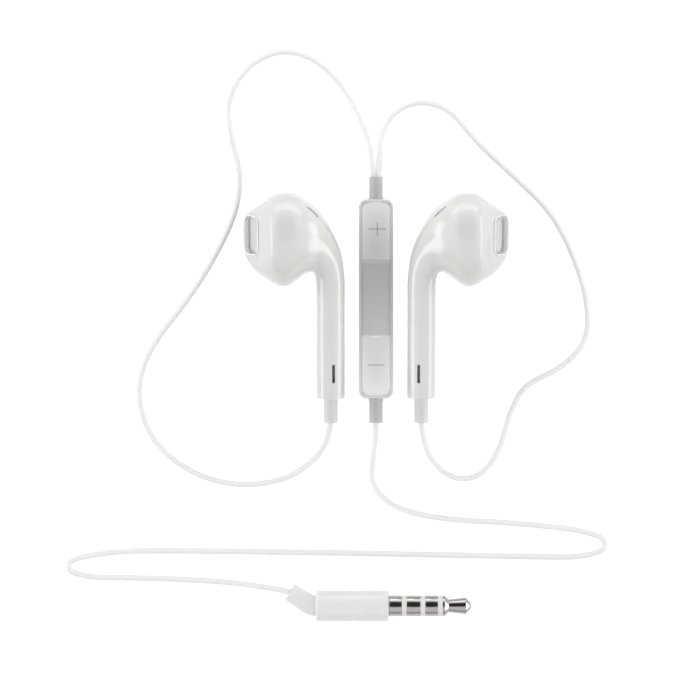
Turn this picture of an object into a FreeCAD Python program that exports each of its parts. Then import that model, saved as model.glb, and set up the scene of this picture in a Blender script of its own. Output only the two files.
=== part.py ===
import FreeCAD, Part
import math
import os

import Sketcher
from FreeCAD import Placement, Rotation, Vector

# Wired earphones, laid flat: two buds on stems, a remote with three keys, a four-contact
# plug and three free cords. Millimetres, +Z up. The origin is the middle of the remote's
# flat back, which lies on the surface that everything else lies on too.

os.makedirs("parts", exist_ok=True)
doc = FreeCAD.newDocument("wired_earphones")
sheet = doc.addObject("Spreadsheet::Sheet", "sizes")

# Driving sizes, in millimetres and degrees.
SIZES = {
    # remote
    "remote_length": 33.8,
    "remote_width": 5.75,
    "remote_thickness": 4.8,
    "remote_corner": 1.25,
    "remote_split": 2.0,
    "back_edge": 0.9,
    "shell_wall": 0.6,
    "shell_floor": 0.6,
    "frame_height": 4.35,
    "frame_rim": 0.5,
    "frame_wall": 0.33,
    "rim_thickness": 0.4,
    "rim_edge": 0.3,
    "seam_lap": 0.5,
    "fit": 0.04,
    "bite": 0.1,
    "cut_past": 0.3,
    "soft_edge": 0.12,
    # keys
    "key_gap": 0.07,
    "key_bottom": 3.7,
    "key_crown": 0.42,
    "key_crown_side": 0.53,
    "key_fall": 2.2,
    "key_grip": 0.13,
    "center_key_length": 13.3,
    "scoop_depth": 0.34,
    "scoop_sag": 0.12,
    "scoop_lip": 0.7,
    "scoop_slope": 1.5,
    "plunger_radius": 0.6,
    "plunger_gap": 0.03,
    # remote, inside
    "board_width": 4.3,
    "board_length": 28.6,
    "board_thickness": 0.6,
    "board_corner": 0.4,
    "board_height": 2.4,
    "post_side": 0.9,
    "dome_radius": 1.6,
    "dome_height": 0.3,
    "dome_sheet": 0.08,
    "dome_foot": 0.2,
    "microphone_width": 2.9,
    "microphone_length": 2.2,
    "microphone_height": 1.0,
    "microphone_place": 5.5,
    "microphone_port": 0.4,
    "gasket_radius": 0.9,
    "chip_side": 2.4,
    "chip_height": 0.7,
    "chip_place": 5.0,
    # cords and the sleeves that they leave by
    "cord_diameter": 0.95,
    "cord_pair": 1.0,
    "sleeve_diameter": 2.25,
    "sleeve_flare": 0.15,
    "sleeve_taper": 0.75,
    "sleeve_collar": 2.7,
    "sleeve_collar_length": 0.6,
    "upper_sleeve_reach": 3.85,
    "lower_sleeve_reach": 4.15,
    # buds
    "stem_spacing": 15.4,
    "stem_foot": 16.65,
    "stem_diameter": 4.8,
    "stem_length": 13.0,
    "stem_wall": 0.7,
    "stem_floor": 0.8,
    "spigot_length": 1.5,
    "spigot_wall": 0.4,
    "spigot_root": 0.6,
    "bud_sleeve_reach": 4.4,
    "bud_sleeve_diameter": 2.3,
    "bud_sleeve_collar": 3.1,
    "head_reach": 14.85,
    "head_height": 15.95,
    "head_depth": 14.1,
    "head_axis": 27.05,
    "head_wall": 0.95,
    "seam_reach": 9.7,
    "head_fullness": 2.12,
    # outlet
    "outlet_turn": 40.0,
    "outlet_height": 6.8,
    "outlet_width": 3.9,
    "outlet_corner": 1.35,
    "outlet_fullness": 3.0,
    "outlet_side": 1.5,
    "outlet_rise": 0.95,
    "outlet_shoulder_height": 0.35,
    "outlet_shoulder_width": 0.3,
    "outlet_lip": 0.15,
    "outlet_edge": 0.05,
    "outlet_wall": 0.22,
    "outlet_tail": 1.35,
    "outlet_foot": 0.1,
    "outlet_ledge": 0.3,
    "grille_recess": 1.0,
    "grille_thickness": 0.22,
    # vent in the head's back
    "vent_centre": 7.8,
    "vent_across": 5.15,
    "vent_up": 5.5,
    "vent_side": 3.0,
    "vent_length": 2.45,
    "vent_width": 0.55,
    "vent_depth": 0.5,
    "vent_sink": 0.2,
    "vent_ledge": 0.13,
    # slot in the stem
    "slot_width": 0.5,
    "slot_length": 3.2,
    "slot_height": 4.05,
    "slot_side": 0.5,
    "slot_cloth": 0.25,
    "slot_cloth_angle": 70.0,
    "slot_cloth_margin": 0.4,
    # driver
    "driver_diameter": 11.0,
    "driver_wall": 0.4,
    "driver_depth": 3.3,
    "driver_rim": 0.9,
    "driver_back_step": 1.1,
    "driver_shoulder_step": 0.88,
    "driver_shoulder": 0.6,
    "driver_plate": 0.5,
    "ledge_step": 0.75,
    "ledge_thickness": 0.2,
    "seat_ring": 0.5,
    "seat_grip": 0.5,
    "diaphragm_place": 0.22,
    "diaphragm_sheet": 0.12,
    "diaphragm_rise": 0.52,
    "diaphragm_land": 0.25,
    "surround_rise": 0.3,
    "coil_step": 2.9,
    "coil_wall": 0.3,
    "coil_length": 1.35,
    "magnet_step": 3.15,
    "magnet_height": 1.2,
    "pole_height": 0.5,
    "cup_step": 1.9,
    "cup_wall": 0.5,
    "cup_edge": 0.2,
    "cup_proud": 0.5,
    # plug
    "plug_radius": 1.75,
    "plug_shoulder": 2.1,
    "plug_axis": 52.15,
    "contact_sleeve": 2.3,
    "contact_ring_two": 2.38,
    "contact_ring_one": 2.18,
    "contact_tip": 4.87,
    "tip_land": 0.4,
    "tip_waist": 1.05,
    "tip_waist_radius": 1.1,
    "tip_ball": 3.9,
    "tip_ball_radius": 1.43,
    "tip_nose_length": 0.25,
    "tip_nose_radius": 0.52,
    "insulator_width": 0.78,
    "tube_wall": 0.18,
    "core_radius": 0.45,
    "tail_length": 4.6,
    "tail_step": 0.5,
    "barrel_radius": 2.6,
    "barrel_length": 12.33,
    "barrel_edge": 0.5,
    "barrel_front_wall": 4.2,
    "barrel_cavity_radius": 1.9,
    "barrel_cavity_end": 9.6,
    "boot_radius": 1.72,
    "boot_end_radius": 1.53,
    "boot_length": 3.6,
    "boot_root_radius": 1.17,
    "boot_collar": 0.6,
    "boot_bend": 33.0,
    "boot_bend_radius": 2.6,
}

for row, (alias, number) in enumerate(SIZES.items(), start=1):
    sheet.set("A%d" % row, alias)
    sheet.set("B%d" % row, str(number))
    sheet.setAlias("B%d" % row, alias)
doc.recompute()


def value(expression):
    """The number that an expression on the sheet gives."""
    return float(sheet.evalExpression(expression))


def size(alias):
    """One cell of the sheet."""
    return float(sheet.get(alias))


# How far an arc's middle lies inside the corner of a quarter turn, in radii.
QUARTER_BOW = 1 - math.sqrt(0.5)

# Where the arcs of soft slopes pass, each in shares of the slope's run and of its drop.
FALL_BOW = (0.4, 0.2)
LIP_BOW = (0.3, 0.4)
SLOPE_BOW = (0.4, 0.4)

# The share of the shorter of two straight runs that the arc between them takes.
ARC_SHARE = 0.45


# Part design helpers

cut_features = []


def new_body(name):
    body = doc.addObject("PartDesign::Body", name)
    body.Label = name
    return body


def new_sketch(body, name, role, shift="0"):
    """An empty sketch on one of the body's own planes, moved along its normal."""
    sketch = body.newObject("Sketcher::SketchObject", name)
    planes = [feature for feature in body.Origin.OriginFeatures if feature.Role == role]
    sketch.AttachmentSupport = [(planes[0], "")]
    sketch.MapMode = "FlatFace"
    sketch.setExpression("AttachmentOffset.Base.z", shift)
    return sketch


def hold(sketch, kind, geometry, spot, expression):
    """Holds one coordinate of a point to an expression on the sheet."""
    number = sketch.addConstraint(
        Sketcher.Constraint(kind, -1, 1, geometry, spot, value(expression)))
    if "sizes." in expression:
        sketch.setExpression("Constraints[%d]" % number, expression)


def outline(body, name, role, loops, shift="0", arcs=None):
    """Closed outlines: each loop lists its corners, each corner a pair of expressions.
    arcs maps a loop and edge number to a point that this edge bows through."""
    sketch = new_sketch(body, name, role, shift)
    arcs = arcs or {}
    first = 0
    bows = []
    for loop_number, corners in enumerate(loops):
        spots = [Vector(value(across), value(up), 0) for across, up in corners]
        ends = []
        for edge, start in enumerate(spots):
            end = spots[(edge + 1) % len(spots)]
            bow = arcs.get((loop_number, edge))
            if bow is None:
                sketch.addGeometry(Part.LineSegment(start, end), False)
                ends.append((1, 2))
                continue
            middle = Vector(value(bow[0]), value(bow[1]), 0)
            bows.append((first + edge, bow, middle))
            if (middle - start).cross(end - middle).z > 0:
                sketch.addGeometry(Part.Arc(start, middle, end), False)
                ends.append((1, 2))
            else:
                sketch.addGeometry(Part.Arc(end, middle, start), False)
                ends.append((2, 1))
        for edge in range(len(spots)):
            following = (edge + 1) % len(spots)
            here = first + edge
            there = first + following
            begin = ends[following][0]
            sketch.addConstraint(
                Sketcher.Constraint("Coincident", here, ends[edge][1], there, begin))
            hold(sketch, "DistanceX", there, begin, corners[following][0])
            hold(sketch, "DistanceY", there, begin, corners[following][1])
        first += len(spots)
    for edge, bow, middle in bows:
        point = sketch.addGeometry(Part.Point(middle), True)
        hold(sketch, "DistanceX", point, 1, bow[0])
        hold(sketch, "DistanceY", point, 1, bow[1])
        sketch.addConstraint(Sketcher.Constraint("PointOnObject", point, 1, edge))
    return sketch


def rectangle(wide, long, across="0", up="0"):
    """The corners of a rectangle about a point."""
    left = "%s - (%s) / 2" % (across, wide)
    right = "%s + (%s) / 2" % (across, wide)
    low = "%s - (%s) / 2" % (up, long)
    high = "%s + (%s) / 2" % (up, long)
    return [(left, low), (right, low), (right, high), (left, high)]


def rounded(body, name, wide, long, radius, shift="0"):
    """A sketch of a rectangle about the origin with round corners."""
    side = "(%s) / 2" % wide
    end = "(%s) / 2" % long
    bow = "(%s) * %f" % (radius, QUARTER_BOW)
    corners = []
    bows = {}
    for number, (across, up) in enumerate(((1, -1), (1, 1), (-1, 1), (-1, -1))):
        along_side = ("%d * (%s)" % (across, side), "%d * (%s - (%s))" % (up, end, radius))
        along_end = ("%d * (%s - (%s))" % (across, side, radius), "%d * (%s)" % (up, end))
        corners += [along_end, along_side] if across * up < 0 else [along_side, along_end]
        bows[(0, 2 * number)] = ("%d * (%s - %s)" % (across, side, bow), "%d * (%s - %s)" % (up, end, bow))
    return outline(body, name, "XY_Plane", [corners], shift, bows)


def circles(body, name, role, rounds, shift="0"):
    """A sketch of circles, each a centre and a radius given by expressions."""
    sketch = new_sketch(body, name, role, shift)
    for number, (across, up, radius) in enumerate(rounds):
        centre = Vector(value(across), value(up), 0)
        sketch.addGeometry(Part.Circle(centre, Vector(0, 0, 1), value(radius)), False)
        hold(sketch, "DistanceX", number, 3, across)
        hold(sketch, "DistanceY", number, 3, up)
        bound = sketch.addConstraint(Sketcher.Constraint("Radius", number, value(radius)))
        sketch.setExpression("Constraints[%d]" % bound, radius)
    return sketch


def pad(body, sketch, length, reversed_way=False, symmetric=False):
    feature = body.newObject("PartDesign::Pad", sketch.Name + "_pad")
    feature.Profile = sketch
    feature.setExpression("Length", length)
    feature.Reversed = reversed_way
    if symmetric:
        feature.SideType = "Symmetric"
    return feature


def pocket(body, sketch, length, reversed_way=False, symmetric=False):
    before = body.Tip
    feature = body.newObject("PartDesign::Pocket", sketch.Name + "_pocket")
    feature.Profile = sketch
    feature.setExpression("Length", length)
    feature.Reversed = reversed_way
    if symmetric:
        feature.SideType = "Symmetric"
    cut_features.append((feature, before))
    return feature


def revolve(body, sketch, axis, angle="360", symmetric=False):
    feature = body.newObject("PartDesign::Revolution", sketch.Name + "_turned")
    feature.Profile = sketch
    feature.ReferenceAxis = (sketch, [axis])
    feature.setExpression("Angle", angle)
    feature.Midplane = symmetric
    return feature


def round_edges(body, name, radius, wanted):
    """Rounds the edges of the body so far that the test wants."""
    doc.recompute()
    base = body.Tip
    names = ["Edge%d" % (number + 1) for number, edge in enumerate(base.Shape.Edges) if wanted(edge)]
    feature = body.newObject("PartDesign::Fillet", name)
    feature.Base = (base, names)
    feature.setExpression("Radius", radius)
    return feature


def is_upright(edge):
    """A straight edge along Z."""
    if edge.Curve.TypeId != "Part::GeomLine":
        return False
    run = edge.Vertexes[1].Point - edge.Vertexes[0].Point
    return abs(run.z) > 0.999 * run.Length


def is_at_height(edge, height):
    box = edge.BoundBox
    return abs(box.ZMin - height) < 1e-4 and abs(box.ZMax - height) < 1e-4


# Remote: the two shells, the keys and what lies between them

SLEEVE_HOLE = "sizes.sleeve_diameter / 2 + sizes.fit"
CAVITY_WIDTH = "sizes.remote_width - 2 * sizes.frame_wall"
CAVITY_LENGTH = "sizes.remote_length - 2 * sizes.frame_wall"
TRAY_WIDTH = "sizes.remote_width - 2 * sizes.shell_wall"
TRAY_LENGTH = "sizes.remote_length - 2 * sizes.shell_wall"
OPENING_WIDTH = "sizes.remote_width - 2 * sizes.frame_rim"
OPENING_LENGTH = "sizes.remote_length - 2 * sizes.frame_rim"
RIM_BOTTOM = "sizes.frame_height - sizes.rim_thickness"
BOARD_TOP = "sizes.board_height + sizes.board_thickness"


def remote_back_shell():
    """A shallow tray with soft outer edges, a lap round its top and four posts for the board."""
    body = new_body("remote_back_shell")
    plan = rounded(body, "back_plan", "sizes.remote_width", "sizes.remote_length", "sizes.remote_corner")
    pad(body, plan, "sizes.remote_split")
    round_edges(body, "back_underside", "sizes.back_edge", lambda edge: is_at_height(edge, 0))
    lap = rounded(body, "back_lap", CAVITY_WIDTH + " - 2 * sizes.fit", CAVITY_LENGTH + " - 2 * sizes.fit",
                  "sizes.remote_corner - sizes.frame_wall - sizes.fit", "sizes.remote_split - sizes.bite")
    pad(body, lap, "sizes.seam_lap + sizes.bite")
    tray = rounded(body, "back_tray", TRAY_WIDTH, TRAY_LENGTH, "sizes.remote_corner - sizes.shell_wall",
                   "sizes.remote_split + sizes.seam_lap")
    pocket(body, tray, "sizes.remote_split + sizes.seam_lap - sizes.shell_floor")
    side = "(%s) / 2 - sizes.post_side / 2" % TRAY_WIDTH
    end = "sizes.board_length / 2 - sizes.post_side"
    posts = [rectangle("sizes.post_side", "sizes.post_side", across, up)
             for across in (side, "-(%s)" % side) for up in (end, "-(%s)" % end)]
    pad(body, outline(body, "back_posts", "XY_Plane", posts, "sizes.shell_floor - sizes.bite"),
        "sizes.board_height - sizes.shell_floor + sizes.bite")
    hole = circles(body, "back_sleeve_hole", "XZ_Plane", [("0", "sizes.remote_split", SLEEVE_HOLE)])
    pocket(body, hole, "2 * sizes.remote_length", symmetric=True)
    port = circles(body, "microphone_port", "XY_Plane",
                   [("0", "-sizes.microphone_place", "sizes.microphone_port")], "sizes.shell_floor")
    pocket(body, port, "sizes.shell_floor")
    return body


def remote_front_frame():
    """The white frame round the keys, with a thin rim that keeps the keys in."""
    body = new_body("remote_front_frame")
    plan = rounded(body, "frame_plan", "sizes.remote_width", "sizes.remote_length", "sizes.remote_corner",
                   "sizes.remote_split")
    pad(body, plan, "sizes.frame_height - sizes.remote_split")
    round_edges(body, "frame_edge", "sizes.rim_edge",
                lambda edge: is_at_height(edge, size("frame_height")))
    room = rounded(body, "frame_room", CAVITY_WIDTH, CAVITY_LENGTH, "sizes.remote_corner - sizes.frame_wall",
                   RIM_BOTTOM)
    pocket(body, room, "%s - sizes.remote_split" % RIM_BOTTOM)
    opening = rounded(body, "frame_opening", OPENING_WIDTH, OPENING_LENGTH,
                      "sizes.remote_corner - sizes.frame_rim", "sizes.frame_height")
    pocket(body, opening, "2 * sizes.rim_thickness")
    hole = circles(body, "frame_sleeve_hole", "XZ_Plane", [("0", "sizes.remote_split", SLEEVE_HOLE)])
    pocket(body, hole, "2 * sizes.remote_length", symmetric=True)
    return body


def key_plan(body, name, wide, low, high, outer_end, radius, shift):
    """A key's outline from low to high along Y, with round corners at its outer end."""
    side = "(%s) / 2" % wide
    if not outer_end:
        middle = "((%s) + (%s)) / 2" % (low, high)
        return outline(body, name, "XY_Plane", [rectangle(wide, "(%s) - (%s)" % (high, low), "0", middle)],
                       shift)
    near, far = (low, high) if outer_end > 0 else (high, low)
    turn = "(%s) - %d * (%s)" % (far, outer_end, radius)
    bow_across = "%s - %f * (%s)" % (side, QUARTER_BOW, radius)
    bow_along = "(%s) - %d * %f * (%s)" % (far, outer_end, QUARTER_BOW, radius)
    inner = "%s - (%s)" % (side, radius)
    corners = [("-(%s)" % side, near), (side, near), (side, turn), (inner, far), ("-(%s)" % inner, far),
               ("-(%s)" % side, turn)]
    bows = {(0, 2): (bow_across, bow_along), (0, 4): ("-(%s)" % bow_across, bow_along)}
    return outline(body, name, "XY_Plane", [corners], shift, bows)


def key_body(name, low, high, outer_end):
    """A key from low to high along Y: a crowned cap in the frame's opening, a wider lip that
    stays under the rim, and a plunger over its dome. outer_end is 1, -1 or 0 for neither."""
    body = new_body(name)
    middle = "((%s) + (%s)) / 2" % (low, high)
    wide = "%s - 2 * sizes.key_gap" % OPENING_WIDTH
    cap = key_plan(body, name + "_plan", wide, low, high, outer_end,
                   "sizes.remote_corner - sizes.frame_rim - sizes.key_gap", "sizes.key_bottom")
    pad(body, cap, "sizes.remote_thickness - sizes.key_bottom")
    beyond = "(%s) / 2 + sizes.cut_past" % wide
    side = "sizes.remote_thickness - sizes.key_crown_side"
    over = "sizes.remote_thickness + sizes.cut_past"
    crown = outline(body, name + "_crown", "XZ_Plane",
                    [[("-(%s)" % beyond, side), (beyond, side), (beyond, over), ("-(%s)" % beyond, over)]],
                    arcs={(0, 0): ("0", "sizes.remote_thickness")})
    pocket(body, crown, "2 * sizes.remote_length", symmetric=True)
    round_edges(body, name + "_edge", "sizes.soft_edge", is_on_cap)
    if outer_end:
        shape_key_end(body, name, high if outer_end > 0 else low, outer_end)
    else:
        shape_scoop(body, name, low, high)
    lip_low = low + " - sizes.key_grip" if outer_end < 0 else low
    lip_high = high + " + sizes.key_grip" if outer_end > 0 else high
    lip = key_plan(body, name + "_lip", CAVITY_WIDTH + " - sizes.key_gap", lip_low, lip_high, outer_end,
                   "sizes.remote_corner - sizes.frame_wall", "sizes.key_bottom")
    pad(body, lip, "%s - sizes.key_bottom - sizes.plunger_gap" % RIM_BOTTOM)
    plunger = circles(body, name + "_plunger", "XY_Plane",
                      [("0", middle, "sizes.plunger_radius")], "sizes.key_bottom + sizes.bite")
    pad(body, plunger, "sizes.key_bottom + sizes.bite - (%s) - sizes.dome_height - sizes.plunger_gap"
        % BOARD_TOP, reversed_way=True)
    return body


def is_on_cap(edge):
    """An edge of the key's top, above the frame."""
    return edge.BoundBox.ZMin > size("remote_thickness") - size("key_crown_side") - size("bite")


def shape_key_end(body, name, end, way):
    """Lets the cap fall away in a soft arc towards the end of the remote."""
    start = "(%s) - %d * sizes.key_fall" % (end, way)
    past = "(%s) + %d * sizes.cut_past" % (end, way)
    top = "sizes.remote_thickness"
    over = "sizes.remote_thickness + sizes.cut_past"
    corners = [(start, top + " + sizes.fit / 2"), (past, top + " - sizes.key_crown"), (past, over),
               (start, over)]
    bow = {(0, 0): ("(%s) - %d * %f * sizes.key_fall" % (end, way, FALL_BOW[0]),
                    "%s - %f * sizes.key_crown" % (top, FALL_BOW[1]))}
    fall = outline(body, name + "_fall", "YZ_Plane", [corners], arcs=bow)
    pocket(body, fall, "2 * sizes.remote_width", symmetric=True)


def shape_scoop(body, name, low, high):
    """Hollows the middle key: a soft slope at its upper end and a short lip at its lower end."""
    top = "sizes.remote_thickness"
    floor = "sizes.remote_thickness - sizes.scoop_depth"
    over = "sizes.remote_thickness + sizes.cut_past"
    before = "(%s) - sizes.bite" % low
    after = "(%s) + sizes.bite" % high
    corners = [(before, top), ("(%s) + sizes.scoop_lip" % low, floor),
               ("(%s) - sizes.scoop_slope" % high, floor), (after, top), (after, over), (before, over)]
    bows = {(0, 0): ("(%s) + %f * sizes.scoop_lip" % (low, LIP_BOW[0]),
                     "%s + %f * sizes.scoop_depth" % (floor, LIP_BOW[1])),
            (0, 1): ("((%s) + (%s)) / 2" % (low, high), floor + " - sizes.scoop_sag"),
            (0, 2): ("(%s) - %f * sizes.scoop_slope" % (high, SLOPE_BOW[0]),
                     "%s + %f * sizes.scoop_depth" % (floor, SLOPE_BOW[1]))}
    scoop = outline(body, name + "_scoop", "YZ_Plane", [corners], arcs=bows)
    pocket(body, scoop, "2 * sizes.remote_width", symmetric=True)


KEY_END = "(%s) / 2 - sizes.key_gap" % OPENING_LENGTH
KEY_SPLIT = "sizes.center_key_length / 2"
KEY_RANGES = {
    "key_volume_up": (KEY_SPLIT + " + sizes.key_gap", KEY_END, 1),
    "key_center": ("-" + KEY_SPLIT, KEY_SPLIT, 0),
    "key_volume_down": ("-(%s)" % KEY_END, "-%s - sizes.key_gap" % KEY_SPLIT, -1),
}


def circuit_board():
    body = new_body("circuit_board")
    plan = outline(body, "board_plan", "XY_Plane",
                   [rectangle("sizes.board_width", "sizes.board_length")], "sizes.board_height")
    pad(body, plan, "sizes.board_thickness")
    round_edges(body, "board_corners", "sizes.board_corner", is_upright)
    return body


def ball_height(radius, rise):
    """How high a ball-shaped cap of a radius and a rise stands at half its radius."""
    ball = "((%s)^2 + (%s)^2) / (2 * (%s))" % (radius, rise, rise)
    return "sqrt((%s)^2 - ((%s) / 2)^2) - (%s) + (%s)" % (ball, radius, ball, rise)


def dome_body(name, low, high):
    """A thin snap dome on the board under its key."""
    body = new_body(name)
    rise = "sizes.dome_height"
    hollow = "sizes.dome_height - sizes.dome_sheet"
    radius = "sizes.dome_radius"
    foot = "sizes.dome_radius - sizes.dome_foot"
    corners = [("0", hollow), (foot, "0"), (radius, "0"), ("0", rise)]
    bows = {(0, 0): ("(%s) / 2" % foot, ball_height(foot, hollow)),
            (0, 2): ("%s / 2" % radius, ball_height(radius, rise))}
    section = outline(body, name + "_section", "XZ_Plane", [corners], arcs=bows)
    revolve(body, section, "V_Axis")
    middle = "((%s) + (%s)) / 2" % (low, high)
    body.setExpression("Placement.Base.y", middle)
    body.setExpression("Placement.Base.z", BOARD_TOP)
    return body


def board_piece(name, wide, long, height, place):
    """A component on the underside of the board."""
    body = new_body(name)
    plan = outline(body, name + "_plan", "XY_Plane", [rectangle(wide, long, "0", place)],
                   "sizes.board_height")
    pad(body, plan, height, reversed_way=True)
    return body


def microphone_gasket():
    """A soft ring that joins the microphone to its port."""
    body = new_body("microphone_gasket")
    rings = circles(body, "gasket_rings", "XY_Plane",
                    [("0", "-sizes.microphone_place", "sizes.gasket_radius"),
                     ("0", "-sizes.microphone_place", "sizes.microphone_port")], "sizes.shell_floor")
    pad(body, rings, "sizes.board_height - sizes.microphone_height - sizes.shell_floor")
    return body


def remote_sleeve(name, way, reach):
    """A strain relief with a collar that the two shells close round."""
    body = new_body(name)
    radius = "sizes.sleeve_diameter / 2"
    collar = "sizes.sleeve_collar / 2"
    flare = radius + " + sizes.sleeve_flare"
    wall = "sizes.remote_length / 2"
    collar_top = "%s - sizes.shell_wall - sizes.fit" % wall
    collar_low = collar_top + " - sizes.sleeve_collar_length"
    end = "%s + %s" % (wall, reach)
    face = wall + " + sizes.fit / 2"
    corners = [("0", collar_low), (collar, collar_low), (collar, collar_top), (radius, collar_top),
               (radius, face), (flare, face), (flare, wall + " + sizes.sleeve_flare"),
               (radius, wall + " + sizes.sleeve_taper"), (radius, end + " - sizes.soft_edge"),
               (radius + " - sizes.soft_edge", end), ("0", end)]
    section = outline(body, name + "_section", "XY_Plane",
                      [[(across, "%d * (%s)" % (way, up)) for across, up in corners]])
    revolve(body, section, "V_Axis")
    body.setExpression("Placement.Base.z", "sizes.remote_split")
    return body


# Buds: the moulded housing is one smooth form from the outlet through the head and the neck
# to the stem, cut into a front cap and a rear shell, over a separate stem tube.
# Local axes: X away from the outlet, Y up the stem from its foot, Z out of the bud's side.

# Across in head reaches, rise in half heads from the head's axis, depth in half head depths,
# shift and turn in shares of the outlet's own: outer point, inner point, depth, shift, turn.
HEAD_STATIONS = [
    ((-0.835, 0.680), (-0.835, -0.687), 0.667, 0.50, 0.50),
    ((-0.734, 0.830), (-0.727, -0.844), 0.865, 0.20, 0.20),
    ((-0.640, 0.955), (-0.623, -0.957), 0.957, 0.07, 0.05),
    ((-0.519, 1.000), (-0.532, -1.000), 1.000, 0.00, 0.00),
    ((-0.387, 0.962), (-0.441, -0.944), 0.979, 0.00, 0.00),
    ((-0.261, 0.818), (-0.343, -0.806), 0.894, 0.00, 0.00),
    ((-0.133, 0.617), (-0.266, -0.712), 0.759, 0.00, 0.00),
]
# The same, with across and depth in stem radii.
NECK_STATIONS = [
    ((-0.167, 0.335), (-1.375, -0.687), 1.790, 0.0, 0.0),
    ((0.367, 0.021), (-1.190, -0.718), 1.440, 0.0, 0.0),
    ((0.750, -0.311), (-1.075, -0.794), 1.167, 0.0, 0.0),
    ((0.917, -0.631), (-1.020, -0.894), 1.033, 0.0, 0.0),
    ((1.000, -0.944), (-1.000, -1.057), 1.000, 0.0, 0.0),
]
OVAL_POINTS = 16
STRAIGHT_SHARES = (0.3, 0.62, 1.0)
# Counted from the stem's end: the ovals that are true circles, those that grow fuller after
# them, and those whose wall is the stem's.
ROUND_OVALS = 4
BLENDED_OVALS = 4
STEM_WALL_OVALS = 5


def oval_points(centre, up, across, half_height, half_depth, fullness):
    """Points round a superellipse."""
    points = []
    for step in range(OVAL_POINTS):
        angle = 2 * math.pi * step / OVAL_POINTS
        rise = math.copysign(abs(math.cos(angle)) ** (2 / fullness), math.cos(angle))
        side = math.copysign(abs(math.sin(angle)) ** (2 / fullness), math.sin(angle))
        points.append(centre + up * (rise * half_height) + across * (side * half_depth))
    return points


def closed_curve(points):
    """One smooth closed curve through a ring of points, with even parameters."""
    curve = Part.BSplineCurve()
    places = [float(number) for number in range(len(points) + 1)]
    curve.interpolate(Points=points, PeriodicFlag=True, Parameters=places)
    return curve


def oval(centre, up, across, half_height, half_depth, fullness):
    points = oval_points(centre, up, across, half_height, half_depth, fullness)
    return Part.Wire([closed_curve(points).toShape()])


def outlet_direction():
    turn = math.radians(size("outlet_turn"))
    return Vector(-math.cos(turn), 0, math.sin(turn))


def outlet_centre():
    """The middle of the outlet, beside which the cap's far side is the head's furthest reach."""
    turn = math.radians(size("outlet_turn"))
    half_width = size("outlet_width") / 2 + size("outlet_shoulder_width")
    back = size("head_reach") - half_width * math.sin(turn)
    lift = size("outlet_side") + size("outlet_lip") * math.sin(turn)
    return Vector(-back, size("head_axis") + size("outlet_rise"), lift)


def stations():
    """Every cross-section of the housing: centre, up, across, half height and half depth."""
    half = size("head_height") / 2
    axis = size("head_axis")
    radius = size("stem_diameter") / 2
    turn = math.radians(size("outlet_turn"))
    foot = outlet_centre() - outlet_direction() * size("outlet_lip")
    rows = [(foot, Vector(0, 1, 0), Vector(math.sin(turn), 0, math.cos(turn)),
             size("outlet_height") / 2 + size("outlet_shoulder_height"),
             size("outlet_width") / 2 + size("outlet_shoulder_width"))]
    scaled = [(row, size("head_reach"), size("head_depth") / 2) for row in HEAD_STATIONS]
    scaled += [(row, radius, radius) for row in NECK_STATIONS]
    for (outer, inner, depth, shift, share), reach, deep in scaled:
        top = Vector(outer[0] * reach, axis + outer[1] * half, 0)
        low = Vector(inner[0] * reach, axis + inner[1] * half, 0)
        centre = (top + low) / 2 + Vector(0, 0, shift * size("outlet_side"))
        angle = share * turn
        across = Vector(math.sin(angle), 0, math.cos(angle))
        rows.append((centre, (top - low).normalize(), across, (top - low).Length / 2, depth * deep))
    neck_end = axis - half
    for share in STRAIGHT_SHARES:
        height = neck_end + (size("stem_length") - neck_end) * share
        rows.append((Vector(0, height, 0), Vector(1, 0, 0), Vector(0, 0, 1), radius, radius))
    return rows


def fullness_at(number, count):
    """The fullest oval round the outlet, fuller ones in the head, true circles in the stem."""
    if number == 0:
        return size("outlet_fullness")
    share = min(1, max(0, (count - ROUND_OVALS - number) / BLENDED_OVALS))
    return 2 + (size("head_fullness") - 2) * share


def housing_ovals(inset, extra=0):
    """The housing's ovals, made smaller by an inset, with its foot drawn out by an extra."""
    rows = stations()
    ovals = []
    for number, (centre, up, across, half_height, half_depth) in enumerate(rows):
        thin = number >= len(rows) - STEM_WALL_OVALS
        wall = min(inset, size("stem_wall")) if thin else inset
        if number == 0:
            centre = centre - outlet_direction() * inset
        if number == len(rows) - 1:
            centre = centre - Vector(0, extra, 0)
        fullness = fullness_at(number, len(rows))
        ovals.append(oval_points(centre, up, across, half_height - wall, half_depth - wall, fullness))
    return ovals


def skin(name, ovals):
    """A solid with one smooth surface through rings of points, closed by two flat ends."""
    count = len(ovals[0])
    places = [0.0]
    for ring, following in zip(ovals, ovals[1:]):
        step = sum(a.distanceToPoint(b) for a, b in zip(ring, following)) / count
        places.append(places[-1] + step)
    lengthwise = []
    for number in range(count):
        curve = Part.BSplineCurve()
        curve.interpolate(Points=[ring[number] for ring in ovals], Parameters=places)
        lengthwise.append(curve)
    rows = list(zip(*(curve.getPoles() for curve in lengthwise)))
    rings = [closed_curve(list(row)) for row in rows]
    poles = [list(column) for column in zip(*(ring.getPoles() for ring in rings))]
    surface = Part.BSplineSurface()
    surface.buildFromPolesMultsKnots(
        poles, rings[0].getMultiplicities(), lengthwise[0].getMultiplicities(),
        rings[0].getKnots(), lengthwise[0].getKnots(), True, False, rings[0].Degree,
        lengthwise[0].Degree)
    side = surface.toShape()
    ends = [Part.Face(Part.Wire([edge])) for edge in side.Edges if edge.isClosed()]
    shell = Part.makeShell([side] + ends)
    shell.sewShape()
    solid = Part.makeSolid(shell)
    if solid.Volume < 0:
        solid.reverse()
    feature = doc.addObject("Part::Feature", name)
    feature.Shape = solid
    return feature


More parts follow.
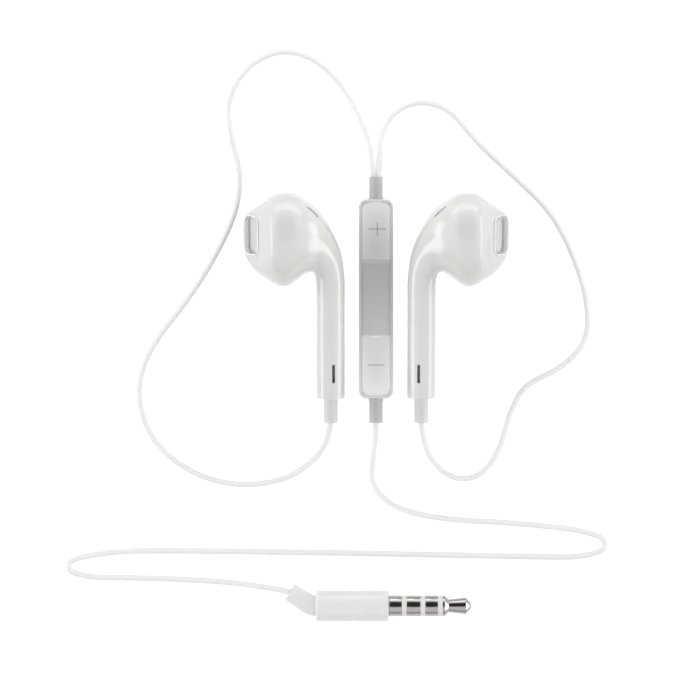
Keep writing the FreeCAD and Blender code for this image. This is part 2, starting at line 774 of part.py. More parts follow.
def loft(name, wires):
    """A smooth solid through the wires, as a loft object on section objects."""
    sections = []
    for number, wire in enumerate(wires):
        section = doc.addObject("Part::Feature", "%s_section_%02d" % (name, number + 1))
        section.Shape = wire
        sections.append(section)
    feature = doc.addObject("Part::Loft", name)
    feature.Sections = sections
    feature.Solid = True
    feature.Ruled = False
    return feature


def slab(name, low, high):
    """A box between two places along X that is larger than the bud in Y and Z."""
    box = doc.addObject("Part::Box", name)
    box.setExpression("Length", "(%s) - (%s)" % (high, low))
    box.setExpression("Width", "3 * sizes.head_axis")
    box.setExpression("Height", "3 * sizes.head_depth")
    box.setExpression("Placement.Base.x", low)
    box.setExpression("Placement.Base.y", "-sizes.head_axis")
    box.setExpression("Placement.Base.z", "-1.5 * sizes.head_depth")
    return box


def boolean(kind, name, base, tool):
    feature = doc.addObject("Part::" + kind, name)
    feature.Base = base
    feature.Tool = tool
    return feature


def cylinder_along_x(name, radius, start, length):
    """A cylinder on the head's axis."""
    feature = doc.addObject("Part::Cylinder", name)
    feature.setExpression("Radius", radius)
    feature.setExpression("Height", length)
    feature.Placement = Placement(Vector(0, 0, 0), Rotation(Vector(0, 1, 0), 90))
    feature.setExpression("Placement.Base.x", start)
    feature.setExpression("Placement.Base.y", "sizes.head_axis")
    return feature


def outlet_outline(body, name, inset, shift="0"):
    """The outlet's outline, a rectangle with round corners, made smaller by an inset."""
    return rounded(body, name, "sizes.outlet_width - 2 * (%s)" % inset,
                   "sizes.outlet_height - 2 * (%s)" % inset, "sizes.outlet_corner - (%s)" % inset, shift)


def outlet_hole():
    """The outlet's hole through the front of the cap, round the bezel's tail."""
    body = new_body("outlet_hole")
    plan = outlet_outline(body, "hole_plan", "sizes.outlet_foot - sizes.fit", "sizes.cut_past")
    pad(body, plan, "sizes.outlet_lip + sizes.outlet_tail + 2 * sizes.cut_past", reversed_way=True)
    body.Placement = outlet_placement()
    return body


def vent_direction():
    """Out of the head's upper outer back, towards the rear vent."""
    across = size("vent_across")
    up = size("vent_up")
    return Vector(across, up, size("vent_side")).normalize()


def vent_placement(housing):
    """The vent's place on the skin: local Z out, local X along the head's outline."""
    middle = Vector(-size("vent_centre"), size("head_axis"), 0)
    outward = vent_direction()
    ray = Part.LineSegment(middle, middle + outward * size("head_height")).toShape()
    inside = ray.common(housing.Shape)
    along = Vector(outward.y, -outward.x, 0).normalize()
    return Placement(middle + outward * inside.Length, Rotation(along, Vector(), outward, "ZXY"))


def stadium(body, name, long, wide, shift="0"):
    """A sketch of a slot with round ends about the origin."""
    straight = "(%s) / 2 - (%s) / 2" % (long, wide)
    half = "(%s) / 2" % wide
    corners = [("-(%s)" % straight, "-(%s)" % half), (straight, "-(%s)" % half), (straight, half),
               ("-(%s)" % straight, half)]
    ends = {(0, 1): ("(%s) / 2" % long, "0"), (0, 3): ("-(%s) / 2" % long, "0")}
    return outline(body, name, "XY_Plane", [corners], shift, ends)


def vent_hole(place):
    """The vent's recess with a narrower slot through the wall under it."""
    body = new_body("vent_hole")
    recess = stadium(body, "vent_recess", "sizes.vent_length + 2 * sizes.fit",
                     "sizes.vent_width + 2 * sizes.fit", "-sizes.vent_depth")
    pad(body, recess, "sizes.vent_depth + sizes.cut_past")
    slot = stadium(body, "vent_slot", "sizes.vent_length - 2 * sizes.vent_ledge",
                   "sizes.vent_width - 2 * sizes.vent_ledge", "-2 * sizes.head_wall")
    pad(body, slot, "2 * sizes.head_wall")
    body.Placement = place
    return body


def rear_vent(place):
    """The gauze in the rear vent's recess."""
    body = new_body("rear_vent")
    plate = stadium(body, "vent_plate", "sizes.vent_length", "sizes.vent_width", "-sizes.vent_depth")
    pad(body, plate, "sizes.vent_depth - sizes.vent_sink")
    body.Placement = place
    return body


def bud_shells():
    """The front cap and the rear shell, hollow, with a lap where they meet, a seat for the
    driver in the cap and a vent in the shell."""
    outer = skin("housing", housing_ovals(0))
    inner = skin("housing_hollow", housing_ovals(size("head_wall"), size("cut_past")))
    tongue_skin = skin("housing_tongue", housing_ovals(size("head_wall") / 2 + size("fit")))
    groove_skin = skin("housing_groove", housing_ovals(size("head_wall") / 2))
    seam = "-sizes.seam_reach"
    lap_end = seam + " + sizes.seam_lap"
    front = boolean("Common", "front_block", outer, slab("front_side", "-2 * sizes.head_reach", seam))
    tongue = boolean("Common", "tongue_block", tongue_skin,
                     slab("tongue_slab", seam + " - 2 * sizes.bite", lap_end))
    front_tongued = boolean("Fuse", "front_tongued", front, tongue)
    front_open = boolean("Cut", "front_open", front_tongued, inner)
    seat_plate = boolean("Common", "seat_plate", groove_skin,
                         slab("seat_slab", seam + " - sizes.seat_ring - sizes.bite",
                              seam + " - sizes.bite"))
    seat = boolean("Cut", "seat", seat_plate,
                   cylinder_along_x("seat_hole", "sizes.driver_diameter / 2 - sizes.seat_grip",
                                    "-sizes.head_reach", "sizes.head_reach"))
    cap_solid = boolean("Fuse", "front_with_seat", front_open, seat)
    front_cap = boolean("Cut", "front_cap_shape", cap_solid, outlet_hole())
    rear = boolean("Common", "rear_block", outer, slab("rear_side", seam, "sizes.head_reach"))
    groove = boolean("Common", "groove_block", groove_skin,
                     slab("groove_slab", seam + " - sizes.bite", lap_end + " + sizes.fit"))
    rear_grooved = boolean("Cut", "rear_grooved", rear, groove)
    rear_open = boolean("Cut", "rear_open", rear_grooved, inner)
    doc.recompute()
    place = vent_placement(outer)
    rear_shell = boolean("Cut", "rear_shell_shape", rear_open, vent_hole(place))
    return front_cap, rear_shell, rear_vent(place)


def stem_tube():
    """The lower stem: a tube with a floor for the sleeve, a spigot that enters the rear shell
    and a sound slot in its side."""
    body = new_body("stem_tube")
    radius = "sizes.stem_diameter / 2"
    bore = radius + " - sizes.stem_wall"
    spigot = bore + " - sizes.fit"
    hole = "sizes.bud_sleeve_diameter / 2 + sizes.fit"
    floor = "sizes.stem_floor"
    top = "sizes.stem_length"
    root = top + " - sizes.spigot_root"
    corners = [(hole, "0"), (radius + " - sizes.soft_edge", "0"), (radius, "sizes.soft_edge"),
               (radius, top), (spigot, top), (spigot, top + " + sizes.spigot_length"),
               (spigot + " - sizes.spigot_wall", top + " + sizes.spigot_length"),
               (spigot + " - sizes.spigot_wall", root), (bore, root), (bore, floor), (hole, floor)]
    revolve(body, outline(body, "stem_section", "XY_Plane", [corners]), "V_Axis")
    half = "sizes.slot_width / 2"
    straight = "sizes.slot_length / 2 - sizes.slot_width / 2"
    left, right = "sizes.slot_side - " + half, "sizes.slot_side + " + half
    low, high = "sizes.slot_height - (%s)" % straight, "sizes.slot_height + (%s)" % straight
    ends = {(0, 0): ("sizes.slot_side", "sizes.slot_height - sizes.slot_length / 2"),
            (0, 2): ("sizes.slot_side", "sizes.slot_height + sizes.slot_length / 2")}
    slot = outline(body, "stem_slot", "XY_Plane",
                   [[(left, low), (right, low), (right, high), (left, high)]], arcs=ends)
    pocket(body, slot, "sizes.stem_diameter", reversed_way=True)
    return body


def slot_cloth():
    """A strip of fine cloth behind the slot, curved to the tube's bore."""
    body = new_body("slot_cloth")
    top = "sizes.stem_diameter / 2 - sizes.stem_wall - sizes.fit"
    low = "sizes.slot_height - sizes.slot_length / 2 - sizes.slot_cloth_margin"
    high = "sizes.slot_height + sizes.slot_length / 2 + sizes.slot_cloth_margin"
    corners = [(low, top + " - sizes.slot_cloth"), (high, top + " - sizes.slot_cloth"),
               (high, top), (low, top)]
    revolve(body, outline(body, "cloth_section", "YZ_Plane", [corners]), "H_Axis",
            "sizes.slot_cloth_angle", symmetric=True)
    return body


def bud_sleeve():
    """The strain relief under the stem, held by a collar inside the tube's floor."""
    body = new_body("sleeve")
    radius = "sizes.bud_sleeve_diameter / 2"
    collar = "sizes.bud_sleeve_collar / 2"
    floor = "sizes.stem_floor + sizes.fit / 2"
    end = "-sizes.bud_sleeve_reach"
    corners = [("0", end), (radius + " - sizes.soft_edge", end), (radius, end + " + sizes.soft_edge"),
               (radius, floor), (collar, floor), (collar, floor + " + sizes.sleeve_collar_length"),
               ("0", floor + " + sizes.sleeve_collar_length")]
    revolve(body, outline(body, "sleeve_section", "XY_Plane", [corners]), "V_Axis")
    return body


def outlet_bezel():
    """The bright lining of the outlet: a thin flange on the cap, a sleeve through the cap's hole
    and a ledge inside it for the grille. Local Z runs out of the outlet."""
    body = new_body("outlet_bezel")
    pad(body, outlet_outline(body, "bezel_flange", "0", "-sizes.outlet_lip"), "sizes.outlet_lip")
    round_edges(body, "bezel_edge", "sizes.outlet_edge", lambda edge: is_at_height(edge, 0))
    tail = outlet_outline(body, "bezel_tail", "sizes.outlet_foot", "-sizes.outlet_lip + sizes.fit")
    pad(body, tail, "sizes.outlet_tail + sizes.fit", reversed_way=True)
    throat = outlet_outline(body, "bezel_throat", "sizes.outlet_wall + sizes.outlet_ledge")
    pocket(body, throat, "2 * (sizes.outlet_lip + sizes.outlet_tail + sizes.cut_past)", symmetric=True)
    step = outlet_outline(body, "bezel_step", "sizes.outlet_wall")
    pocket(body, step, "sizes.grille_recess + sizes.grille_thickness")
    return body


def outlet_grille():
    """The fine grille that closes the outlet."""
    body = new_body("outlet_grille")
    plate = outlet_outline(body, "grille_plate", "sizes.outlet_wall + sizes.fit", "-sizes.grille_recess")
    pad(body, plate, "sizes.grille_thickness", reversed_way=True)
    return body


# Driver: turned pieces on one axis. Local X runs from the front of the driver to its back.

DRIVER_EDGE = "sizes.driver_diameter / 2"
BACK_RADIUS = DRIVER_EDGE + " - sizes.driver_back_step"
LEDGE_RADIUS = DRIVER_EDGE + " - sizes.ledge_step"
CUP_RADIUS = DRIVER_EDGE + " - sizes.cup_step"
COIL_RADIUS = DRIVER_EDGE + " - sizes.coil_step"
MAGNET_RADIUS = DRIVER_EDGE + " - sizes.magnet_step"
CUP_BACK = "sizes.driver_depth + sizes.cup_proud"
MAGNET_BACK = CUP_BACK + " - sizes.cup_wall"
POLE_BACK = MAGNET_BACK + " - sizes.magnet_height"
POLE_FRONT = POLE_BACK + " - sizes.pole_height"


def turned(name, corners, bows=None):
    """A piece turned about local X from its half section."""
    body = new_body(name)
    section = outline(body, name + "_section", "XY_Plane", [corners], arcs=bows)
    revolve(body, section, "H_Axis")
    return body


def driver_frame():
    """The basket: a rim with a ledge for the diaphragm, a sloping wall and a plate round the cup."""
    outer = DRIVER_EDGE
    inner = outer + " - sizes.driver_wall"
    depth = "sizes.driver_depth"
    plate = depth + " - sizes.driver_plate"
    cup = CUP_RADIUS + " + sizes.fit"
    ledge = "sizes.diaphragm_place + sizes.diaphragm_sheet + sizes.fit / 4"
    ledge_back = ledge + " + sizes.ledge_thickness"
    return turned("driver_frame", [
        ("0", inner), ("0", outer), ("sizes.driver_rim", outer),
        (depth + " - sizes.driver_shoulder", outer + " - sizes.driver_shoulder_step"),
        (depth, BACK_RADIUS), (depth, cup), (plate, cup), (plate, BACK_RADIUS + " - sizes.driver_wall"),
        ("sizes.driver_rim", LEDGE_RADIUS + " + sizes.ledge_thickness"),
        (ledge_back, LEDGE_RADIUS), (ledge, LEDGE_RADIUS), (ledge, inner)])


def diaphragm():
    """A thin ball-shaped cap with a pleated surround and a flat land on the basket's ledge."""
    cap = COIL_RADIUS + " + sizes.coil_wall"
    edge = DRIVER_EDGE + " - sizes.driver_wall - sizes.fit"
    land = edge + " - sizes.diaphragm_land"
    pleat = "(%s + %s) / 2" % (land, cap)
    film = "sizes.diaphragm_place"
    back = film + " + sizes.diaphragm_sheet"
    rise = "sizes.diaphragm_rise"
    swell = ball_height(cap, rise)
    return turned("diaphragm", [
        (film + " - " + rise, "0"), (film, cap), (film + " - sizes.surround_rise", pleat), (film, land),
        (film, edge), (back, edge), (back, land), (back + " - sizes.surround_rise", pleat), (back, cap),
        (back + " - " + rise, "0")],
        {(0, 0): ("%s - (%s)" % (film, swell), "(%s) / 2" % cap),
         (0, 8): ("%s - (%s)" % (back, swell), "(%s) / 2" % cap)})


def ring_between(name, front, back, inner, outer):
    """A plain turned ring, or a disc where the inner radius is nothing."""
    return turned(name, [(front, inner), (front, outer), (back, outer), (back, inner)])


def magnet_cup():
    """The soft iron cup round the magnet, with its rim level with the pole plate."""
    radius = CUP_RADIUS
    inner = radius + " - sizes.cup_wall"
    rim = POLE_FRONT + " - sizes.fit"
    return turned("magnet_cup", [
        (CUP_BACK, "0"), (CUP_BACK, radius + " - sizes.cup_edge"), (CUP_BACK + " - sizes.cup_edge", radius),
        (rim, radius), (rim, inner), (MAGNET_BACK, inner), (MAGNET_BACK, "0")])


def driver_pieces():
    coil_front = "sizes.diaphragm_place + sizes.diaphragm_sheet + sizes.fit / 2"
    coil_back = coil_front + " + sizes.coil_length"
    coil_outer = COIL_RADIUS + " + sizes.coil_wall"
    return [
        driver_frame(),
        diaphragm(),
        ring_between("voice_coil", coil_front, coil_back, COIL_RADIUS, coil_outer),
        ring_between("pole_plate", POLE_FRONT, POLE_BACK, "0", MAGNET_RADIUS + " + sizes.bite"),
        ring_between("magnet", POLE_BACK, MAGNET_BACK, "0", MAGNET_RADIUS),
        magnet_cup(),
    ]


STEEPEST_TILT = 30
HALVINGS = 40
RING_SAMPLES = 60


def lowest_under(tilt):
    """How far under the foot's axis the head and the stem's foot reach at a tilt."""
    lowest_head = 0
    for ring in housing_ovals(0)[:1 + len(HEAD_STATIONS)]:
        for spot in closed_curve(ring).discretize(RING_SAMPLES):
            lowest_head = min(lowest_head, spot.y * math.sin(tilt) + spot.z * math.cos(tilt))
    lowest_foot = -size("stem_diameter") / 2 * math.cos(tilt)
    return lowest_head, lowest_foot


def resting_tilt():
    """The slope at which the head's side and the stem's foot touch the surface together."""
    shallow, steep = 0.0, math.radians(STEEPEST_TILT)
    for _ in range(HALVINGS):
        tilt = (shallow + steep) / 2
        head, foot = lowest_under(tilt)
        if head < foot:
            shallow = tilt
        else:
            steep = tilt
    return (shallow + steep) / 2


def bud_placement():
    """Lays the left bud down: its foot at the photographed place, on its side."""
    tilt = resting_tilt()
    foot_height = size("stem_diameter") / 2 * math.cos(tilt)
    base = Vector(-size("stem_spacing") / 2, -size("stem_foot"), foot_height)
    return Placement(base, Rotation(Vector(1, 0, 0), math.degrees(tilt)))


def outlet_placement():
    turn = math.radians(size("outlet_turn"))
    across = Vector(math.sin(turn), 0, math.cos(turn))
    return Placement(outlet_centre(), Rotation(across, Vector(0, 1, 0), outlet_direction(), "ZXY"))


def driver_placement():
    return Placement(Vector(-size("seam_reach") - size("fit"), size("head_axis"), 0), Rotation())


def placed(name, source, placement):
    """A copy of a solid under its own name, set down in the model's frame."""
    link = doc.addObject("Part::Compound", name)
    link.Links = [source]
    link.Label = name
    link.Placement = placement
    return link


def mirrored(name, source):
    """The right bud's twin of a left piece, across the middle of the remote."""
    feature = doc.addObject("Part::Mirroring", name)
    feature.Source = source
    feature.Base = Vector(0, 0, 0)
    feature.Normal = Vector(1, 0, 0)
    feature.Label = name
    return feature


# Plug: coaxial contacts with insulating tubes between them. Local X runs out along the pin.

def coaxial_sections():
    """Half sections of the nested contacts and insulators, from the outside in."""
    pin = "sizes.plug_radius"
    gap = "sizes.fit / 2"
    faces = ["0", "sizes.contact_sleeve"]
    widths = ["insulator_width", "contact_ring_two", "insulator_width", "contact_ring_one",
              "insulator_width"]
    for width in widths:
        faces.append("%s + sizes.%s" % (faces[-1], width))
    names = ["plug_sleeve_contact", "insulator_one", "plug_ring_two", "insulator_two",
             "plug_ring_one", "insulator_three"]
    sections = {}
    for number, name in enumerate(names):
        outer = "sizes.core_radius + %d * sizes.tube_wall - %s" % (6 - number, gap)
        inner = "sizes.core_radius + %d * sizes.tube_wall" % (5 - number)
        tail = "-sizes.tail_length - %d * sizes.tail_step" % number
        start, end = faces[number], faces[number + 1]
        sections[name] = [(tail, inner), (tail, outer), (start, outer), (start, pin), (end, pin),
                          (end, inner)]
    return sections, faces[-1]


def plug_pieces():
    sections, tip_start = coaxial_sections()
    contacts = [turned(name, sections[name])
                for name in ("plug_sleeve_contact", "plug_ring_two", "plug_ring_one")]
    insulators = [turned(name, sections[name])
                  for name in ("insulator_one", "insulator_two", "insulator_three")]
    tail = "-sizes.tail_length - 6 * sizes.tail_step"
    core = "sizes.core_radius - sizes.fit / 2"
    pin = "sizes.plug_radius"
    end = "%s + sizes.contact_tip" % tip_start
    nose = end + " - sizes.tip_nose_length"
    swell = ball_height("sizes.tip_nose_radius", "sizes.tip_nose_length")
    tip = turned("plug_tip", [
        (tail, "0"), (tail, core), (tip_start, core), (tip_start, pin),
        (tip_start + " + sizes.tip_land", pin),
        (tip_start + " + sizes.tip_waist", "sizes.tip_waist_radius"),
        (tip_start + " + sizes.tip_ball", "sizes.tip_ball_radius"),
        (nose, "sizes.tip_nose_radius"), (end, "0")],
        {(0, 7): ("%s + %s" % (nose, swell), "sizes.tip_nose_radius / 2")})
    return contacts, insulators, tip


def plug_barrel():
    """The moulded grip, hollow round the contacts' tails and the boot's root."""
    radius = "sizes.barrel_radius"
    edge = "sizes.barrel_edge"
    back = "-sizes.barrel_length"
    front_bore = "sizes.core_radius + 6 * sizes.tube_wall + sizes.fit"
    cavity = "sizes.barrel_cavity_radius"
    cavity_end = "-sizes.barrel_cavity_end"
    root = "sizes.boot_root_radius + sizes.fit"
    corners = [(back, root), (back, "%s - %s" % (radius, edge)), ("%s + %s" % (back, edge), radius),
               ("-sizes.soft_edge", radius), ("0", radius + " - sizes.soft_edge"), ("0", front_bore),
               ("-sizes.barrel_front_wall", front_bore), ("-sizes.barrel_front_wall", cavity),
               (cavity_end, cavity), (cavity_end, root)]
    bow = {(0, 1): ("%s + %f * %s" % (back, QUARTER_BOW, edge), "%s - %f * %s" % (radius, QUARTER_BOW, edge))}
    return turned("plug_barrel", corners, bow)


def boot_path():
    """The boot's centre line: places and headings from the barrel's back to the boot's end."""
    bend = math.radians(size("boot_bend"))
    radius = size("boot_bend_radius")
    start = Vector(-size("barrel_length"), 0, 0)
    rows = []
    for share in (0, 1 / 3, 2 / 3, 1):
        angle = bend * share
        spot = start + Vector(-radius * math.sin(angle), radius * (1 - math.cos(angle)), 0)
        rows.append((spot, Vector(-math.cos(angle), math.sin(angle), 0)))
    spot, heading = rows[-1]
    run = size("boot_length")
    rows.append((spot + heading * (run * 0.5), heading))
    rows.append((spot + heading * run, heading))
    return rows


def boot_circles():
    rows = boot_path()
    travelled = 0
    total = sum(b[0].distanceToPoint(a[0]) for a, b in zip(rows, rows[1:]))
    wires = []
    for number, (spot, heading) in enumerate(rows):
        if number:
            travelled += spot.distanceToPoint(rows[number - 1][0])
        radius = size("boot_radius") + (size("boot_end_radius") - size("boot_radius")) * travelled / total
        across = heading.cross(Vector(0, 0, 1)).normalize()
        wires.append(oval(spot, Vector(0, 0, 1), across, radius, radius, 2))
    return wires


def plug_boot():
    """The soft boot: a bent sleeve outside the barrel and a collared root inside it."""
    root_radius = "sizes.boot_root_radius"
    back = "-sizes.barrel_length"
    front = "-sizes.barrel_cavity_end + sizes.fit"
    end = front + " + sizes.boot_collar"
    root = turned("boot_root", [
        (back, "0"), (back, root_radius), (front, root_radius), (front, "sizes.boot_radius"),
        (end, "sizes.boot_radius"), (end, "0")])
    sleeve = loft("boot_sleeve", boot_circles())
    return boolean("Fuse", "boot_shape", root, sleeve)


def plug_placement():
    return Placement(Vector(size("plug_shoulder"), -size("plug_axis"), size("barrel_radius")), Rotation())


# Cords: chosen points, each a place in plan and a lift above where the cord lies. The first is
# where the cord leaves its sleeve, the last where it enters the bud's sleeve or the plug's boot.

LEFT_ROUTE = [
    (-0.5, 20.75, 1.525), (-0.55, 23.6, 1.35), (-1.6, 28.6, 0.45), (-5.2, 36.0, 0), (-10.2, 41.0, 0),
    (-15.8, 42.7, 0), (-21.6, 40.2, 0), (-25.4, 34.4, 0), (-24.8, 27.7, 0), (-23.1, 21.9, 0),
    (-23.6, 15.5, 0), (-27.0, 8.0, 0), (-32.1, -0.2, 0), (-38.1, -7.5, 0), (-41.0, -15.1, 0),
    (-38.9, -23.5, 0), (-32.0, -29.6, 0), (-23.5, -32.0, 0), (-15.5, -30.9, 0), (-10.5, -27.6, 0),
    (-8.1, -24.0, 0.65), (-7.7, -20.98, 1.115),
]
RIGHT_ROUTE = [
    (0.5, 20.75, 1.525), (0.5, 23.7, 1.35), (0.9, 28.6, 0.45), (3.6, 32.5, 0), (7.9, 33.9, 0),
    (12.7, 32.4, 0), (17.1, 26.9, 0), (24.3, 20.3, 0), (29.8, 15.0, 0), (33.5, 8.2, 0), (36.2, -0.2, 0),
    (36.1, -7.3, 0), (31.6, -11.8, 0), (25.3, -14.6, 0), (22.9, -19.2, 0), (21.2, -25.7, 0),
    (17.7, -30.4, 0), (13.2, -30.8, 0), (9.5, -27.7, 0), (8.1, -24.0, 0.65), (7.7, -20.98, 1.115),
]
LOWER_ROUTE = [
    (0.0, -21.05, 1.525), (0.05, -23.3, 1.45), (-0.5, -27.2, 0.5), (-0.85, -31.3, 0), (1.7, -34.6, 0),
    (6.1, -36.5, 0), (12.6, -37.6, 0), (20.7, -38.0, 0), (29.2, -38.7, 0), (34.7, -39.4, 0),
    (37.6, -40.25, 0), (39.1, -41.05, 0), (39.1, -42.6, 0), (37.4, -43.4, 0), (34.0, -44.0, 0),
    (27.9, -43.95, 0), (16.0, -43.7, 0), (-7.0, -43.25, 0), (-29.1, -42.95, 0), (-39.3, -42.9, 0),
    (-44.7, -43.1, 0), (-48.0, -43.6, 0), (-50.7, -44.1, 0), (-52.4, -44.8, 0), (-52.4, -46.3, 0),
    (-50.5, -47.05, 0), (-47.3, -47.5, 0), (-41.8, -47.5, 0), (-33.3, -47.75, 0), (-24.5, -48.3, 0.1),
    (-19.2, -48.98, 0.9), (-16.15, -49.47, 1.88), (-14.665, -49.77, 2.125),
]
# How far the points nearest an end go along with it, where a size moves the end.
FOLLOW_SHARES = (1, 1, 0.8, 0.5, 0.2)


def cord_points(start, route, end):
    """The whole route, from the sleeve or exit that it starts at to the one that it ends at."""
    rest = size("cord_diameter") / 2
    spots = [Vector(across, along, rest + lift) for across, along, lift in route]
    moves = (start - spots[0], end - spots[-1])
    for number, share in enumerate(FOLLOW_SHARES):
        spots[number] += moves[0] * share
        spots[-1 - number] += moves[1] * share
    return [Vector(spot.x, spot.y, max(spot.z, rest)) for spot in spots]


def cord_path(name, points):
    """Straight runs joined by tangent arcs, each arc as large as its two runs allow."""
    edges = []
    here = points[0]
    radii = []
    for before, corner, after in zip(points, points[1:], points[2:]):
        into = (corner - before).normalize()
        out = (after - corner).normalize()
        turn = into.getAngle(out)
        shorter = min(corner.distanceToPoint(before), corner.distanceToPoint(after))
        inset = ARC_SHARE * shorter
        radii.append(inset / math.tan(turn / 2))
        arc_start_spot = corner - into * inset
        arc_end_spot = corner + out * inset
        inward = (out - into).normalize()
        depth = radii[-1] / math.cos(turn / 2) - radii[-1]
        edges.append(Part.LineSegment(here, arc_start_spot).toShape())
        edges.append(Part.Arc(arc_start_spot, corner + inward * depth, arc_end_spot).toShape())
        here = arc_end_spot
    edges.append(Part.LineSegment(here, points[-1]).toShape())
    print(name, "radii", " ".join("%.1f" % radius for radius in radii))
    return Part.Wire(edges)


def cord(name, points):
    """A plain round cord along its route."""
    path = cord_path(name, points)
    heading = points[1] - points[0]
    section = Part.Wire([Part.Circle(points[0], heading, size("cord_diameter") / 2).toShape()])
    feature = doc.addObject("Part::Feature", name)
    feature.Shape = path.makePipeShell([section], True, False)
    expected = math.pi * size("cord_diameter") ** 2 / 4 * path.Length
    print(name, "length %.1f mm, volume %.3f of section times length"
          % (path.Length, feature.Shape.Volume / expected))
    return feature


# The assembly

named = []
named.append(remote_back_shell())
named.append(remote_front_frame())
for key_name, (low, high, outer_end) in KEY_RANGES.items():
    named.append(key_body(key_name, low, high, outer_end))
    named.append(dome_body(key_name.replace("key", "dome"), low, high))
named.append(circuit_board())
named.append(board_piece("microphone", "sizes.microphone_width", "sizes.microphone_length",
                         "sizes.microphone_height", "-sizes.microphone_place"))
named.append(microphone_gasket())
named.append(board_piece("control_chip", "sizes.chip_side", "sizes.chip_side", "sizes.chip_height",
                         "sizes.chip_place"))
named.append(remote_sleeve("remote_upper_sleeve", 1, "sizes.upper_sleeve_reach"))
named.append(remote_sleeve("remote_lower_sleeve", -1, "sizes.lower_sleeve_reach"))

bud_at = bud_placement()
front_cap_shape, rear_shell_shape, vent_gauze = bud_shells()
bud_sources = [("front_cap", front_cap_shape, bud_at), ("rear_shell", rear_shell_shape, bud_at)]
for piece in (vent_gauze, stem_tube(), slot_cloth(), bud_sleeve()):
    bud_sources.append((piece.Name, piece, bud_at))
for piece in (outlet_bezel(), outlet_grille()):
    bud_sources.append((piece.Name, piece, bud_at * outlet_placement()))
for piece in driver_pieces():
    bud_sources.append((piece.Name, piece, bud_at * driver_placement()))
for piece_name, source, placement in bud_sources:
    left = placed("left_" + piece_name, source, placement)
    named.append(left)
    named.append(mirrored("right_" + piece_name, left))

plug_at = plug_placement()
plug_contacts, plug_insulators, plug_tip_piece = plug_pieces()
for piece in plug_contacts + [plug_tip_piece, plug_barrel()]:
    piece.Placement = plug_at
    named.append(piece)
insulator_set = doc.addObject("Part::Compound", "plug_insulators")
insulator_set.Links = plug_insulators
insulator_set.Placement = plug_at
named.append(insulator_set)
named.append(placed("plug_boot", plug_boot(), plug_at))

exit_height = size("remote_split")
upper_exit = size("remote_length") / 2 + size("upper_sleeve_reach")
lower_exit = size("remote_length") / 2 + size("lower_sleeve_reach")
left_foot = bud_at.multVec(Vector(0, -size("bud_sleeve_reach"), 0))
right_foot = Vector(-left_foot.x, left_foot.y, left_foot.z)
pair = size("cord_pair") / 2
boot_end = plug_at.multVec(boot_path()[-1][0])
CORDS = {
    "cord_left": (Vector(-pair, upper_exit, exit_height), LEFT_ROUTE, left_foot),
    "cord_right": (Vector(pair, upper_exit, exit_height), RIGHT_ROUTE, right_foot),
    "cord_lower": (Vector(0, -lower_exit, exit_height), LOWER_ROUTE, boot_end),
}
for cord_name, (start, route, end) in CORDS.items():
    named.append(cord(cord_name, cord_points(start, route, end)))

doc.recompute()
faults = [item.Name for item in doc.Objects if {"Invalid", "Error"} & set(item.State)]
faults += [feature.Name for feature, before in cut_features
           if not feature.Shape.isNull() and feature.Shape.Volume >= before.Shape.Volume - 1e-6]
faults += [item.Label for item in named if item.Shape.isNull() or not item.Shape.isValid()]
if faults:
    raise RuntimeError("these did not build: %s" % ", ".join(faults))
for item in named:
    item.Shape.exportStep("parts/%s.step" % item.Label)
tilt_degrees = math.degrees(resting_tilt())
print(len(named), "pieces, buds tilted by %.2f degrees" % tilt_degrees)
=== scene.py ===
import math
from functools import partial

import bmesh
import bpy
import numpy as np
from bpy.props import FloatProperty, FloatVectorProperty, IntProperty, PointerProperty
from bpy.types import Operator, Panel, PropertyGroup
from mathutils import Matrix, Vector
from mathutils.bvhtree import BVHTree


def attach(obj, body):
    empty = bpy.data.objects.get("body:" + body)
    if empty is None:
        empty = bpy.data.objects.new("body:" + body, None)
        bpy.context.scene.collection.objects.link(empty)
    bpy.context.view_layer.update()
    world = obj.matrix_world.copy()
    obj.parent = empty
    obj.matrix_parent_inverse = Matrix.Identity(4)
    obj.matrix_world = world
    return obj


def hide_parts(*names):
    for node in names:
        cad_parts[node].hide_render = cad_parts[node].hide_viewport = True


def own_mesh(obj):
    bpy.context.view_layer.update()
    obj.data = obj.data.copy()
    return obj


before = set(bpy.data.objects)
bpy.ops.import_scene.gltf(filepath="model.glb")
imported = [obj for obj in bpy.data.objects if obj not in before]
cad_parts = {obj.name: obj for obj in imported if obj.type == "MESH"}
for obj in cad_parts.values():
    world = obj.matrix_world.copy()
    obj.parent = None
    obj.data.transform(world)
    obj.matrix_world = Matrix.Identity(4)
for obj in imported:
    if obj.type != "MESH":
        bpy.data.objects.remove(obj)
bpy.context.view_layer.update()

bl_info = {
    "name": "Wired Earphones",
    "version": (1, 0, 0),
    "blender": (4, 5, 0),
    "location": "View3D > Sidebar > Earphones",
    "description": "Makes the looks of a pair of corded earphones around their packed frame",
    "category": "Object",
}

MM = 0.001
X_AXIS, Y_AXIS, Z_AXIS = Vector((1, 0, 0)), Vector((0, 1, 0)), Vector((0, 0, 1))
MAIN_BODY = "earphones"
SIDES = ("left", "right")
CORD_DIAMETER = 0.95


# Settings that a user may change

def length(name, description, default):
    return FloatProperty(name=name, description=description, default=default, unit="LENGTH", precision=5)


def colour(name, description, default):
    return FloatVectorProperty(name=name, description=description, default=default, subtype="COLOR",
                               size=4, min=0, max=1)


def strength(name, description, default, **options):
    return FloatProperty(name=name, description=description, default=default, **options)


